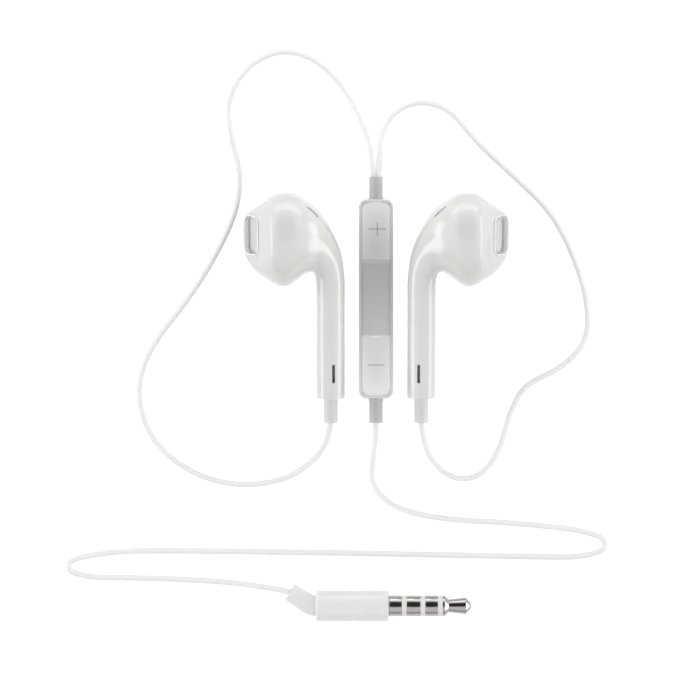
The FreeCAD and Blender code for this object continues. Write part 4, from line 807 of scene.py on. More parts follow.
def rear_shell_mesh(outer, inner):
    """The rear shell from the seam to the stem's joint, with its inner wall."""
    edge = sizes().seam_edge / MM
    reach = -SEAM_REACH
    last = np.full(outer.shape[1], outer.shape[0] - 1.0)
    start = crossing(outer, reach + edge)
    outside = skin_rows(outer, start, last, even_shares(SHELL_RINGS))
    up = np.array((0, 1, 0))
    centre = np.array((0, STEM_LENGTH, 0))
    end = outside.pop()
    out = (end - centre) / STEM_RADIUS
    foot = [end - out * inset + up * rise for rise, inset in round_over(edge, SEAM_STEPS)]
    inside = skin_rows(inner, crossing(inner, reach), last, even_shares(SHELL_INNER_RINGS))[::-1]
    rings = seam_rim(outer, inner, reach, 1, edge)[::-1][:-1] + outside + foot + inside
    return laid_down(swept("rear_shell", rings, True))


VENT_CENTRE, VENT_AIM = 7.8, (5.15, 5.5, 3.0)
VENT_LENGTH, VENT_WIDTH, VENT_DEPTH, VENT_SINK, VENT_LEDGE = 2.45, 0.55, 0.5, 0.21, 0.13
# How far the vent's cutters stand out of the skin
VENT_CLEARANCE = 1


def vent_matrix(outer):
    """The rear vent's place on the skin: local Z out, local X along the head's outline."""
    aim = Vector(VENT_AIM).normalized()
    start = Vector((-VENT_CENTRE, HEAD_AXIS, 0))
    rows, count = outer.shape[:2]
    tree = BVHTree.FromPolygons([tuple(point) for ring in outer for point in ring],
                                ring_faces(count, rows, False)[:-2])
    spot = tree.ray_cast(start, aim)[0]
    along = Vector((aim.y, -aim.x, 0)).normalized()
    turn = Matrix((along, aim.cross(along), aim)).transposed().to_4x4()
    return Matrix.Translation(bud_matrix() @ spot) @ bud_matrix().to_3x3().to_4x4() @ turn


def woven_screen_tree():
    """Nodes that weave two sets of wires, each as long as the round-cornered opening is there."""
    tree = bpy.data.node_groups.new("Woven screen", "GeometryNodeTree")
    for label in ("Half Height", "Half Width", "Corner", "Pitch", "Wire"):
        tree.interface.new_socket(label, in_out="INPUT", socket_type="NodeSocketFloat")
    tree.interface.new_socket("Finish", in_out="INPUT", socket_type="NodeSocketMaterial")
    tree.interface.new_socket("Geometry", in_out="OUTPUT", socket_type="NodeSocketGeometry")
    given = tree.nodes.new("NodeGroupInput").outputs
    upright = wire_set(tree, given, 1, given["Half Height"], given["Half Width"], 1.0)
    level = wire_set(tree, given, 0, given["Half Width"], given["Half Height"], -1.0)
    joined = tree.nodes.new("GeometryNodeJoinGeometry")
    for wires in (upright, level):
        tree.links.new(wires, joined.inputs[0])
    real = add_node(tree, "GeometryNodeRealizeInstances", {0: joined.outputs[0]})
    dressed = add_node(tree, "GeometryNodeSetMaterial", {"Geometry": real.outputs[0],
                                                         "Material": given["Finish"]})
    end = tree.nodes.new("NodeGroupOutput")
    tree.links.new(dressed.outputs[0], end.inputs[0])
    return tree


# A wire is bent at this many points in each pitch, and has this many sides
BENDS, WIRE_SIDES = 4.0, 6


def wire_set(tree, given, along, half_along, half_across, way):
    """The wires along X, 0, or Y, 1, bent over and under the others. way is 1 where they start
    above them and -1 where they start below."""
    calc = partial(maths, tree)
    vector = partial(add_node, tree, "ShaderNodeCombineXYZ")
    pitch, corner_radius = given["Pitch"], given["Corner"]
    across = 1 - along
    halves = calc("FLOOR", calc("DIVIDE", half_across, pitch))
    first = calc("MULTIPLY", calc("SUBTRACT", 0.5, halves), pitch)
    line = add_node(tree, "GeometryNodeMeshLine", {
        "Count": calc("MULTIPLY", halves, 2.0),
        "Start Location": vector({across: first}).outputs[0],
        "Offset": vector({across: pitch}).outputs[0],
    }, mode="OFFSET")
    off_axis = calc("ABSOLUTE", position(tree)[across])
    straight = calc("SUBTRACT", half_across, corner_radius)
    past = calc("MAXIMUM", calc("SUBTRACT", off_axis, straight), 0.0)
    square = calc("SUBTRACT", calc("POWER", corner_radius, 2.0), calc("POWER", past, 2.0))
    rise = calc("SQRT", calc("MAXIMUM", square, 0.0))
    chord = calc("ADD", calc("SUBTRACT", half_along, corner_radius), rise)
    end = Vector((0, 1, 0) if along else (1, 0, 0))
    thread = add_node(tree, "GeometryNodeCurvePrimitiveLine", {"Start": -end, "End": end})
    placed = add_node(tree, "GeometryNodeInstanceOnPoints", {
        "Points": line.outputs[0],
        "Instance": thread.outputs[0],
        "Scale": vector({0: chord, 1: chord, 2: 1.0}).outputs[0],
    })
    real = add_node(tree, "GeometryNodeRealizeInstances", {0: placed.outputs[0]})
    fine = add_node(tree, "GeometryNodeResampleCurve", {
        "Curve": real.outputs[0],
        "Length": calc("DIVIDE", pitch, BENDS),
    }, mode="LENGTH")
    here = position(tree)
    turns = [calc("MULTIPLY", calc("DIVIDE", here[axis], pitch), math.pi) for axis in (0, 1)]
    over = calc("MULTIPLY", calc("SINE", turns[0]), calc("SINE", turns[1]))
    lift = calc("MULTIPLY", calc("MULTIPLY", over, way), given["Wire"])
    moved = add_node(tree, "GeometryNodeSetPosition", {
        "Geometry": fine.outputs[0],
        "Offset": vector({2: lift}).outputs[0],
    })
    ring = add_node(tree, "GeometryNodeCurvePrimitiveCircle", {
        "Resolution": WIRE_SIDES,
        "Radius": given["Wire"],
    })
    tube = add_node(tree, "GeometryNodeCurveToMesh", {
        "Curve": moved.outputs[0],
        "Profile Curve": ring.outputs[0],
        "Fill Caps": True,
    })
    return tube.outputs[0]


def position(tree):
    """The X, Y and Z of each point."""
    place = tree.nodes.new("GeometryNodeInputPosition").outputs[0]
    return add_node(tree, "ShaderNodeSeparateXYZ", {0: place}).outputs


def woven_screen(name, half_height, half_width, corner_radius, pitch, wire, finish):
    """The mesh of one screen about its own centre, in metres."""
    tree = bpy.data.node_groups.get("Woven screen") or woven_screen_tree()
    holder = linked_object(name, bpy.data.meshes.new(name))
    modifier = holder.modifiers.new("screen", "NODES")
    modifier.node_group = tree
    given = {"Half Height": half_height, "Half Width": half_width, "Corner": corner_radius,
             "Pitch": pitch, "Wire": wire, "Finish": bpy.data.materials[finish]}
    for item in tree.interface.items_tree:
        if item.in_out == "INPUT":
            modifier[item.identifier] = given[item.name]
    mesh = evaluated_mesh(holder)
    bpy.data.objects.remove(holder)
    return mesh


# Cords: chosen points in millimetres, each a place in plan and a lift above where the cord lies.
# The first is where the cord leaves its sleeve, the last where it enters the bud's sleeve or the
# plug's boot.

LEFT_ROUTE = [
    (-0.5, 20.75, 1.525), (-0.55, 23.6, 1.35), (-1.6, 28.6, 0.45), (-5.2, 36.0, 0), (-10.2, 41.0, 0),
    (-15.8, 42.7, 0), (-21.6, 40.2, 0), (-25.4, 34.4, 0), (-24.8, 27.7, 0), (-23.1, 21.9, 0),
    (-23.6, 15.5, 0), (-27.0, 8.0, 0), (-32.1, -0.2, 0), (-38.1, -7.5, 0), (-41.0, -15.1, 0),
    (-38.9, -23.5, 0), (-32.0, -29.6, 0), (-23.5, -32.0, 0), (-15.5, -30.9, 0), (-10.5, -27.6, 0),
    (-8.1, -24.0, 0.65), (-7.7, -20.98, 1.115),
]
RIGHT_ROUTE = [
    (0.5, 20.75, 1.525), (0.5, 23.7, 1.35), (0.9, 28.6, 0.45), (3.6, 32.5, 0), (7.9, 33.9, 0),
    (12.7, 32.4, 0), (17.1, 26.9, 0), (24.3, 20.3, 0), (29.8, 15.0, 0), (33.5, 8.2, 0), (36.2, -0.2, 0),
    (36.1, -7.3, 0), (31.6, -11.8, 0), (25.3, -14.6, 0), (22.9, -19.2, 0), (21.2, -25.7, 0),
    (17.7, -30.4, 0), (13.2, -30.8, 0), (9.5, -27.7, 0), (8.1, -24.0, 0.65), (7.7, -20.98, 1.115),
]
LOWER_ROUTE = [
    (0.0, -21.05, 1.525), (0.05, -23.3, 1.45), (-0.5, -27.2, 0.5), (-0.85, -31.3, 0), (1.7, -34.6, 0),
    (6.1, -36.5, 0), (12.6, -37.6, 0), (20.7, -38.0, 0), (29.2, -38.7, 0), (34.7, -39.4, 0),
    (37.6, -40.25, 0), (39.1, -41.05, 0), (39.1, -42.6, 0), (37.4, -43.4, 0), (34.0, -44.0, 0),
    (27.9, -43.95, 0), (16.0, -43.7, 0), (-7.0, -43.25, 0), (-29.1, -42.95, 0), (-39.3, -42.9, 0),
    (-44.7, -43.1, 0), (-48.0, -43.6, 0), (-50.7, -44.1, 0), (-52.4, -44.8, 0), (-52.4, -46.3, 0),
    (-50.5, -47.05, 0), (-47.3, -47.5, 0), (-41.8, -47.5, 0), (-33.3, -47.75, 0), (-24.5, -48.3, 0.1),
    (-19.2, -48.98, 0.9), (-16.15, -49.47, 1.88), (-14.665, -49.77, 2.125),
]
CORDS = {
    "cord_left": (LEFT_ROUTE, 143.4, "object"),
    "cord_right": (RIGHT_ROUTE, 116.0, "object"),
    "cord_lower": (LOWER_ROUTE, 185.2, "plug"),
}


def cord_point(x, y, lift):
    """A point of a route in metres."""
    return x * MM, y * MM, (lift + CORD_DIAMETER / 2) * MM


def cord_curve(name, route):
    """A round cord along a smooth curve whose control points are the route's."""
    curve = bpy.data.curves.new(name + "_line", "CURVE")
    curve.dimensions = "3D"
    spline = curve.splines.new("NURBS")
    spline.points.add(len(route) - 1)
    for point, place in zip(spline.points, route):
        point.co = (*cord_point(*place), 1)
    spline.order_u = 3
    spline.use_endpoint_u = True
    spline.resolution_u = 12
    curve.bevel_depth = sizes().cord_diameter / 2
    curve.bevel_resolution = 6
    curve.use_fill_caps = True
    return linked_object(name + "_line", curve)


SENSOR_WIDTH = 36
# The point that the camera looks down on, at half the height of what it sees
VIEW_CENTRE = (-4.42, -8.66, 2.5)


class EARPHONES_OT_camera(Operator):
    """Puts the camera straight above the laid-out earphones"""
    bl_idname = "earphones.camera"
    bl_label = "Camera"

    def execute(self, context):
        view = studio()
        data = bpy.data.cameras.new("camera")
        data.lens = view.lens
        data.sensor_width = SENSOR_WIDTH
        camera = linked_object("camera", data)
        distance = view.lens / SENSOR_WIDTH * view.frame_width
        camera.location = Vector(VIEW_CENTRE) * MM + Vector((0, 0, distance))
        data.clip_start, data.clip_end = 10 * MM, 10
        context.scene.camera = camera
        return {"FINISHED"}


class EARPHONES_OT_cords(Operator):
    """Lays the three cords in the curves they rest in"""
    bl_idname = "earphones.cords"
    bl_label = "Cords"

    def execute(self, context):
        for name, (route, _, _) in CORDS.items():
            piece = cord_curve(name, route)
            piece.data.materials.append(bpy.data.materials["cord_soft"])
            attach(piece, MAIN_BODY)
            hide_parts(name)
        return {"FINISHED"}


class EARPHONES_OT_cord_facts(Operator):
    """Does nothing: the cords' real lengths, listed in CORDS, are not stated"""
    bl_idname = "earphones.cord_facts"
    bl_label = "Cord facts"

    def execute(self, context):
        return {"FINISHED"}


WHITE = (1, 1, 1, 1)
FLOOR_REACH = 900
# The softbox beyond the buds' heads: its width, its height and where it stands, in millimetres
SOFTBOX_WIDTH, SOFTBOX_HEIGHT, SOFTBOX_PLACE = 900, 220, (0, 500, 115)
# Parts of the sky, by the X and Z of the way to them: how high the weak light near the horizon
# reaches, and where the softboxes at the two sides begin and end
HORIZON_TOP = 0.5
SIDE_EDGES, SIDE_TOPS = (0.78, 0.9), (0.32, 0.46)
# The weak disc beside the camera, in degrees: its lean, and where its soft edge begins and ends
ZENITH_LEAN, ZENITH_EDGES = 20.0, (38.0, 22.0)
SMOOTH = {"interpolation_type": "SMOOTHSTEP"}


class EARPHONES_OT_stage(Operator):
    """Makes the pale floor, the softbox and the light from all round"""
    bl_idname = "earphones.stage"
    bl_label = "Stage"

    def execute(self, context):
        corners = [(across * FLOOR_REACH, along * FLOOR_REACH, 0)
                   for across, along in ((-1, -1), (1, -1), (1, 1), (-1, 1))]
        mesh = mesh_of("floor", corners, [(0, 1, 2, 3)])
        floor = linked_object("floor", mesh)
        floor_finish("floor_white")
        mesh.materials.append(bpy.data.materials["floor_white"])
        data = bpy.data.lights.new("far_softbox", "AREA")
        data.shape = "RECTANGLE"
        data.size, data.size_y = SOFTBOX_WIDTH * MM, SOFTBOX_HEIGHT * MM
        data.energy = studio().far_light
        lamp = linked_object("far_softbox", data)
        lamp.location = Vector(SOFTBOX_PLACE) * MM
        lamp.rotation_euler = (-lamp.location).to_track_quat("-Z", "Y").to_euler()
        context.scene.world = studio_sky()
        context.scene.view_settings.view_transform = "Standard"
        return {"FINISHED"}


def studio_sky():
    """Soft light from all round, weaker low down and in a disc beside the camera, with a low
    softbox at each side."""
    light = studio()
    world = bpy.data.worlds.new("studio")
    world.use_nodes = True
    tree = world.node_tree
    aim = add_node(tree, "ShaderNodeTexCoord").outputs["Generated"]
    parts = add_node(tree, "ShaderNodeSeparateXYZ", {0: aim}).outputs
    low = ranged(tree, parts[2], 0.0, HORIZON_TOP, light.horizon, light.ambient)
    aside = ranged(tree, maths(tree, "ABSOLUTE", parts[0]), *SIDE_EDGES, 0.0, light.sides, **SMOOTH)
    beneath = ranged(tree, parts[2], *SIDE_TOPS, 1.0, 0.0, **SMOOTH)
    lean = math.radians(ZENITH_LEAN)
    toward = add_node(tree, "ShaderNodeVectorMath", {0: aim, 1: (0.0, math.sin(lean), math.cos(lean))},
                      operation="DOT_PRODUCT").outputs["Value"]
    edges = [math.cos(math.radians(angle)) for angle in ZENITH_EDGES]
    disc = ranged(tree, toward, *edges, 1.0, light.zenith / light.ambient, **SMOOTH)
    around = maths(tree, "MULTIPLY", low, disc)
    softboxes = maths(tree, "MULTIPLY", aside, beneath)
    set_inputs(tree, tree.nodes["Background"], {"Color": WHITE,
                                                "Strength": maths(tree, "ADD", around, softboxes)})
    return world


def floor_finish(name):
    """A matt pale surface, lifted towards white for the camera and for reflections."""
    tree, shader = new_finish(name)
    set_inputs(tree, shader, {"Base Color": colours().floor, "Roughness": 0.9, "Specular IOR Level": 0.0})
    rays = tree.nodes.new("ShaderNodeLightPath").outputs
    reflected = maths(tree, "MAXIMUM", rays["Is Glossy Ray"], rays["Is Transmission Ray"])
    seen = maths(tree, "MAXIMUM", rays["Is Camera Ray"], reflected)
    power = maths(tree, "MULTIPLY", seen, studio().floor_glow)
    glow = add_node(tree, "ShaderNodeEmission", {"Color": WHITE, "Strength": power})
    both = add_node(tree, "ShaderNodeAddShader", {0: shader.outputs[0], 1: glow.outputs[0]})
    tree.links.new(both.outputs[0], tree.nodes["Material Output"].inputs["Surface"])


class EARPHONES_OT_housings(Operator):
    """Makes the front caps, the rear shells and the rear vents"""
    bl_idname = "earphones.housings"
    bl_label = "Housings"

    def execute(self, context):
        outer, inner = skin(0), skin(HEAD_WALL)
        both_buds("front_cap", front_cap_mesh(outer, inner), "housing_gloss")
        place = vent_matrix(outer)
        recess = stadium_prism("vent_recess", VENT_LENGTH + 2 * FIT, VENT_WIDTH + 2 * FIT, -VENT_DEPTH,
                               VENT_CLEARANCE, place)
        slot = stadium_prism("vent_slot", VENT_LENGTH - 2 * VENT_LEDGE, VENT_WIDTH - 2 * VENT_LEDGE,
                             -3 * HEAD_WALL, VENT_CLEARANCE, place)
        shell = cut(rear_shell_mesh(outer, inner), recess, slot)
        both_buds("rear_shell", shell, "housing_gloss")
        half_width = VENT_WIDTH / 2 * MM
        gauze = woven_screen("rear_vent", half_width, VENT_LENGTH / 2 * MM, half_width,
                             sizes().gauze_pitch, sizes().gauze_wire, "gauze_steel")
        at = place.copy()
        at.translation = place @ Vector((0, 0, -VENT_SINK)) * MM
        gauze.transform(at)
        both_buds("rear_vent", gauze, "gauze_steel")
        return {"FINISHED"}


SLOT_WIDTH, SLOT_LENGTH, SLOT_HEIGHT, SLOT_SIDE = 0.5, 3.2, 4.4, 0.5
# How far from the stem's middle the slot's cutter begins and ends
SLOT_CUT = (0.5, 4.0)
BUD_SLEEVE_RADIUS, BUD_SLEEVE_REACH, BUD_COLLAR, COLLAR_LENGTH = 1.15, 4.4, 1.55, 0.6
# The spigot at the top of the stem, which stands in the neck
SPIGOT_LENGTH, SPIGOT_WALL, SPIGOT_ROOT = 1.5, 0.4, 0.6
SOFT_EDGE, CORD_HOLE = 0.12, 0.35


class EARPHONES_OT_stems(Operator):
    """Makes the stems with their slots, and the sleeves under them"""
    bl_idname = "earphones.stems"
    bl_label = "Stems"

    def execute(self, context):
        bore = STEM_RADIUS - STEM_WALL
        hole = BUD_SLEEVE_RADIUS + FIT
        edge = sizes().seam_edge / MM
        section = [(0, hole)] + corner((SOFT_EDGE, STEM_RADIUS - SOFT_EDGE), SOFT_EDGE, 180, 90)
        section += corner((STEM_LENGTH - edge, STEM_RADIUS - edge), edge, 90, 0)
        section += [(STEM_LENGTH, bore - FIT), (STEM_LENGTH + SPIGOT_LENGTH, bore - FIT),
                    (STEM_LENGTH + SPIGOT_LENGTH, bore - SPIGOT_WALL),
                    (STEM_LENGTH - SPIGOT_ROOT, bore - SPIGOT_WALL), (STEM_LENGTH - SPIGOT_ROOT, bore),
                    (STEM_FLOOR, bore), (STEM_FLOOR, hole)]
        tube = turned("stem_tube", section, True, (0, 0, 0), Y_AXIS, X_AXIS)
        upright = Matrix.Rotation(math.radians(90), 4, "Z")
        stand = Matrix.Translation((SLOT_SIDE, SLOT_HEIGHT, 0)) @ upright
        slot = stadium_prism("stem_slot", SLOT_LENGTH, SLOT_WIDTH, *SLOT_CUT, stand)
        tube = laid_down(cut(tube, slot))
        both_buds("stem_tube", tube, "housing_gloss")
        low = -BUD_SLEEVE_REACH
        radius = BUD_SLEEVE_RADIUS
        section = [(low, CORD_HOLE)] + corner((low + SOFT_EDGE, radius - SOFT_EDGE), SOFT_EDGE, 180, 90)
        section += [(STEM_FLOOR + FIT / 2, radius), (STEM_FLOOR + FIT / 2, BUD_COLLAR),
                    (STEM_FLOOR + COLLAR_LENGTH, BUD_COLLAR), (STEM_FLOOR + COLLAR_LENGTH, CORD_HOLE)]
        sleeve = turned("sleeve", section, False, (0, 0, 0), Y_AXIS, X_AXIS)
        both_buds("sleeve", laid_down(sleeve), "bud_sleeve_soft")
        return {"FINISHED"}


def outlet_matrix(depth):
    """The outlet's own axes, across, up and out, about a point this far down its axis."""
    turn = Matrix((outlet_across(), Y_AXIS, outlet_direction())).transposed().to_4x4()
    return Matrix.Translation(outlet_centre() - outlet_direction() * depth) @ turn


def outlet_ring(offset, depth):
    """A ring round the outlet, this far outside its outline and this far down its axis."""
    place = outlet_matrix(depth)
    return [place @ Vector(point) for point in rounded_ring(
        OUTLET_WIDTH / 2 + offset, OUTLET_HEIGHT / 2 + offset, OUTLET_CORNER + offset, 0, OUTLET_STEPS)]


class EARPHONES_OT_outlets(Operator):
    """Makes the outlets' bright rims and their woven screens"""
    bl_idname = "earphones.outlets"
    bl_label = "Outlets"

    def execute(self, context):
        ledge = GRILLE_RECESS + GRILLE_THICKNESS
        tail = OUTLET_LIP + OUTLET_TAIL
        profile = [(-OUTLET_FOOT, tail), (-OUTLET_FOOT, OUTLET_LIP), (0, OUTLET_LIP)]
        profile += [(y - OUTLET_EDGE, x) for x, y in corner((OUTLET_EDGE, 0), OUTLET_EDGE, 90, 180)]
        profile += [(-OUTLET_WALL + OUTLET_EDGE - y, x)
                    for x, y in corner((OUTLET_EDGE, 0), OUTLET_EDGE, 180, 90)]
        profile += [(-OUTLET_WALL, ledge), (-OUTLET_WALL - OUTLET_LEDGE, ledge),
                    (-OUTLET_WALL - OUTLET_LEDGE, tail)]
        rim = swept("outlet_bezel", [outlet_ring(offset, depth) for offset, depth in profile], True)
        both_buds("outlet_bezel", laid_down(rim), "lining_bright")
        inset = OUTLET_WALL + FIT
        shape = [(size - inset) * MM for size in (OUTLET_HEIGHT / 2, OUTLET_WIDTH / 2, OUTLET_CORNER)]
        screen = woven_screen("outlet_grille", *shape, sizes().screen_pitch, sizes().screen_wire,
                              "screen_steel")
        place = bud_matrix() @ outlet_matrix(GRILLE_RECESS + GRILLE_THICKNESS / 2)
        place.translation *= MM
        screen.transform(place)
        both_buds("outlet_grille", screen, "screen_steel")
        return {"FINISHED"}


REMOTE_LENGTH, REMOTE_WIDTH, REMOTE_THICKNESS, REMOTE_SPLIT = 33.8, 5.75, 4.8, 2.0
REMOTE_CORNER, BACK_EDGE, SHELL_WALL, SHELL_FLOOR = 1.25, 0.9, 0.6, 0.6
FRAME_HEIGHT, FRAME_RIM, FRAME_WALL, RIM_THICKNESS, RIM_EDGE = 4.35, 0.5, 0.33, 0.4, 0.3
RIM_CHAMFER, BACK_STEPS, RIM_STEPS = 0.015, 8, 6
SLEEVE_RADIUS, UPPER_REACH, LOWER_REACH = 1.125, 3.85, 4.15
SLEEVE_FLARE, SLEEVE_DIP, SLEEVE_TAPER = 0.15, 0.45, 0.75
REMOTE_AXIS = (0, 0, REMOTE_SPLIT)
REMOTE_COLLAR, REMOTE_CORD_HOLE, REMOTE_STEPS = 1.35, 0.3, 8


def remote_rings(profile):
    """Rings round the remote, each this far inside its outline and at this height."""
    return [rounded_ring(REMOTE_WIDTH / 2 - inset, REMOTE_LENGTH / 2 - inset, REMOTE_CORNER - inset,
                         height, REMOTE_STEPS) for inset, height in profile]


class EARPHONES_OT_remote(Operator):
    """Makes the remote's two shells and its sleeves"""
    bl_idname = "earphones.remote"
    bl_label = "Remote"

    def execute(self, context):
        seam = round_over(sizes().seam_edge / MM, SEAM_STEPS)
        section = [(end, SLEEVE_RADIUS + FIT) for end in (-REMOTE_LENGTH, REMOTE_LENGTH)]
        bore = turned("sleeve_bore", section, False, REMOTE_AXIS, Y_AXIS, X_AXIS)
        back = round_over(BACK_EDGE, BACK_STEPS)
        back += [(inset, REMOTE_SPLIT - down) for down, inset in seam]
        back += [(SHELL_WALL, REMOTE_SPLIT), (SHELL_WALL, SHELL_FLOOR)]
        shell = cut(swept("remote_back", remote_rings(back), False), bore.copy())
        finished("remote_back_cover", shell, "remote_gloss", ["remote_back_shell"])
        front = [(inset, REMOTE_SPLIT + rise) for rise, inset in seam[::-1]]
        front += [(inset, FRAME_HEIGHT - down) for down, inset in round_over(RIM_EDGE, RIM_STEPS)]
        front += [(FRAME_RIM - RIM_CHAMFER, FRAME_HEIGHT), (FRAME_RIM, FRAME_HEIGHT - RIM_CHAMFER),
                  (FRAME_RIM, FRAME_HEIGHT - RIM_THICKNESS), (FRAME_WALL, FRAME_HEIGHT - RIM_THICKNESS),
                  (FRAME_WALL, REMOTE_SPLIT)]
        shell = cut(swept("remote_front", remote_rings(front), True), bore)
        finished("remote_front_rim", shell, "remote_gloss", ["remote_front_frame"])
        for name, way, reach in (("upper", 1, UPPER_REACH), ("lower", -1, LOWER_REACH)):
            wall = REMOTE_LENGTH / 2
            end = wall + reach
            inside = wall - SHELL_WALL - FIT
            section = [(inside - COLLAR_LENGTH, REMOTE_CORD_HOLE), (inside - COLLAR_LENGTH, REMOTE_COLLAR),
                       (inside, REMOTE_COLLAR), (inside, SLEEVE_RADIUS), (wall + FIT / 2, SLEEVE_RADIUS),
                       (wall + FIT / 2, SLEEVE_RADIUS + SLEEVE_FLARE),
                       (wall + SLEEVE_FLARE, SLEEVE_RADIUS + SLEEVE_FLARE),
                       (wall + SLEEVE_DIP, SLEEVE_RADIUS + FIT), (wall + SLEEVE_TAPER, SLEEVE_RADIUS)]
            section += corner((end - SOFT_EDGE, SLEEVE_RADIUS - SOFT_EDGE), SOFT_EDGE, 90, 0)
            section += [(end, REMOTE_CORD_HOLE)]
            sleeve = turned("remote_sleeve", section, False, REMOTE_AXIS, Y_AXIS * way, X_AXIS)
            node = "remote_%s_sleeve" % name
            finished(node + "_shape", sleeve, "remote_sleeve_soft", [node])
        return {"FINISHED"}


KEY_GAP, KEY_BOTTOM, KEY_EDGE = 0.006, 3.7, 0.012
# How far a key's top falls sideways, and how far past its sides that fall is reached
KEY_CROWN_SIDE, CROWN_REACH = 0.53, 0.3
# How far its top falls at its outer end, and over what length
KEY_CROWN, KEY_FALL = 0.42, 2.2
# The hollow in the middle key: its depth, the sag of its floor, the lengths over which its two
# ends come up, and how far the lower end bows
CENTER_KEY, SCOOP_DEPTH, SCOOP_SAG, SCOOP_LIP, SCOOP_SLOPE, SCOOP_BOW = 13.3, 0.34, 0.12, 0.45, 0.6, 0.32
# The share of the crown that is left in the scoop
SCOOP_CROWN = 0.55
# A key's grid: its rows and spans, the extra lines near its edges, and how far in the spans begin
KEY_ROWS, KEY_SPANS, EDGE_LINES, SPANS_INSET = 60, 22, (0.015, 0.04, 0.08, 0.13), 0.26
KEY_HALF_WIDTH = REMOTE_WIDTH / 2 - FRAME_RIM - KEY_GAP
KEY_END = REMOTE_LENGTH / 2 - FRAME_RIM - KEY_GAP
KEY_SPLIT = CENTER_KEY / 2
KEYS = {
    "key_volume_up": ("volume_up_key", KEY_SPLIT + KEY_GAP, KEY_END, 1),
    "key_center": ("center_key", -KEY_SPLIT, KEY_SPLIT, 0),
    "key_volume_down": ("volume_down_key", -KEY_END, -KEY_SPLIT - KEY_GAP, -1),
}
# Each printed bar: its key, its middle, and its size across and along the remote
SIGNS = {
    "plus_bar": ("key_volume_up", (0.19, 11.84), (2.9, 0.1)),
    "plus_post": ("key_volume_up", (0.19, 11.84), (0.1, 2.3)),
    "minus_bar": ("key_volume_down", (0.03, -11.2), (2.75, 0.1)),
}
SIGN_ROWS, SIGN_SPANS, SIGN_ROOT = 8, 12, 0.5


def soft_step(share):
    share = min(1.0, max(0.0, share))
    return share * share * (3 - 2 * share)


def key_height(across, along, low, high, outer_end):
    """The height of a key's top: crowned across, falling to the remote's end, or scooped."""
    crown = KEY_CROWN_SIDE * (across / (KEY_HALF_WIDTH + CROWN_REACH)) ** 2
    height = REMOTE_THICKNESS - crown
    if outer_end:
        end = high if outer_end > 0 else low
        share = 1 - min(1.0, abs(end - along) / KEY_FALL)
        return height - KEY_CROWN * share ** 2
    bow = SCOOP_BOW * (across / KEY_HALF_WIDTH) ** 2
    floor = SCOOP_DEPTH * min(soft_step((along - low - bow) / SCOOP_LIP),
                              soft_step((high - along) / SCOOP_SLOPE))
    sag = SCOOP_SAG * max(0.0, 1 - (2 * along / (high - low)) ** 2)
    return min(height, REMOTE_THICKNESS - floor - sag - crown * SCOOP_CROWN)


def key_mesh(name, low, high, outer_end):
    """A key's cap: a grid that follows its outline, with soft edges and straight sides."""
    radius = REMOTE_CORNER - FRAME_RIM - KEY_GAP
    rows = {round(low + (high - low) * share, 4) for share in even_shares(KEY_ROWS)}
    rows |= {round(place, 4) for inset in EDGE_LINES for place in (low + inset, high - inset)}
    grid = []
    for along in sorted(rows):
        half = KEY_HALF_WIDTH
        end = high if outer_end > 0 else low
        past = radius - abs(end - along)
        if outer_end and past > 0:
            half += math.sqrt(max(0.0, radius ** 2 - past ** 2)) - radius
        border = [half - inset * half / KEY_HALF_WIDTH for inset in (0, *EDGE_LINES)]
        middle = half * (1 - SPANS_INSET / KEY_HALF_WIDTH)
        across = [-place for place in border]
        across += [middle * (2 * share - 1) for share in even_shares(KEY_SPANS)] + border[::-1]
        line = []
        for place in across:
            near = min(KEY_EDGE, edge_distance(place, along, low, high, outer_end, radius))
            drop = KEY_EDGE - math.sqrt(max(0.0, KEY_EDGE ** 2 - (KEY_EDGE - near) ** 2))
            line.append((place, along, key_height(place, along, low, high, outer_end) - drop))
        grid.append(line)
    return block_under(name, grid, KEY_BOTTOM)


def edge_distance(across, along, low, high, outer_end, radius):
    """How far a place on a key is from its outline."""
    side = KEY_HALF_WIDTH - abs(across)
    out, other = (high - along, along - low) if outer_end > 0 else (along - low, high - along)
    if outer_end and side < radius and out < radius:
        return min(other, radius - math.hypot(radius - side, radius - out))
    return min(side, out, other)


def block_under(name, grid, bottom):
    """A closed block: the grid on top, straight sides down from its border and a flat bottom."""
    rows, count = len(grid), len(grid[0])
    points = [point for line in grid for point in line]
    faces = []
    for here in range(0, (rows - 1) * count, count):
        there = here + count
        faces += [(here + step, here + step + 1, there + step + 1, there + step)
                  for step in range(count - 1)]
    spots = np.arange(rows * count).reshape(rows, count)
    border = np.concatenate([spots[0], spots[1:, -1], spots[-1, -2::-1], spots[-2:0:-1, 0]]).tolist()
    first = len(points)
    points += [(points[spot][0], points[spot][1], bottom) for spot in border]
    for number, spot in enumerate(border):
        following = (number + 1) % len(border)
        faces.append((spot, border[following], first + following, first + number))
    faces.append(tuple(range(first, first + len(border))))
    return mesh_of(name, points, faces)


def sign_bar(name, key, centre, size):
    """A thin printed bar that follows the top of its key."""
    grid = []
    for row in even_shares(SIGN_ROWS):
        along = centre[1] + size[1] * (row - 0.5)
        line = []
        for step in even_shares(SIGN_SPANS):
            across = centre[0] + size[0] * (step - 0.5)
            height = key_height(across, along, *KEYS[key][1:]) + sizes().sign_height / MM
            line.append((across, along, height))
        grid.append(line)
    return block_under(name, grid, KEY_BOTTOM + SIGN_ROOT)


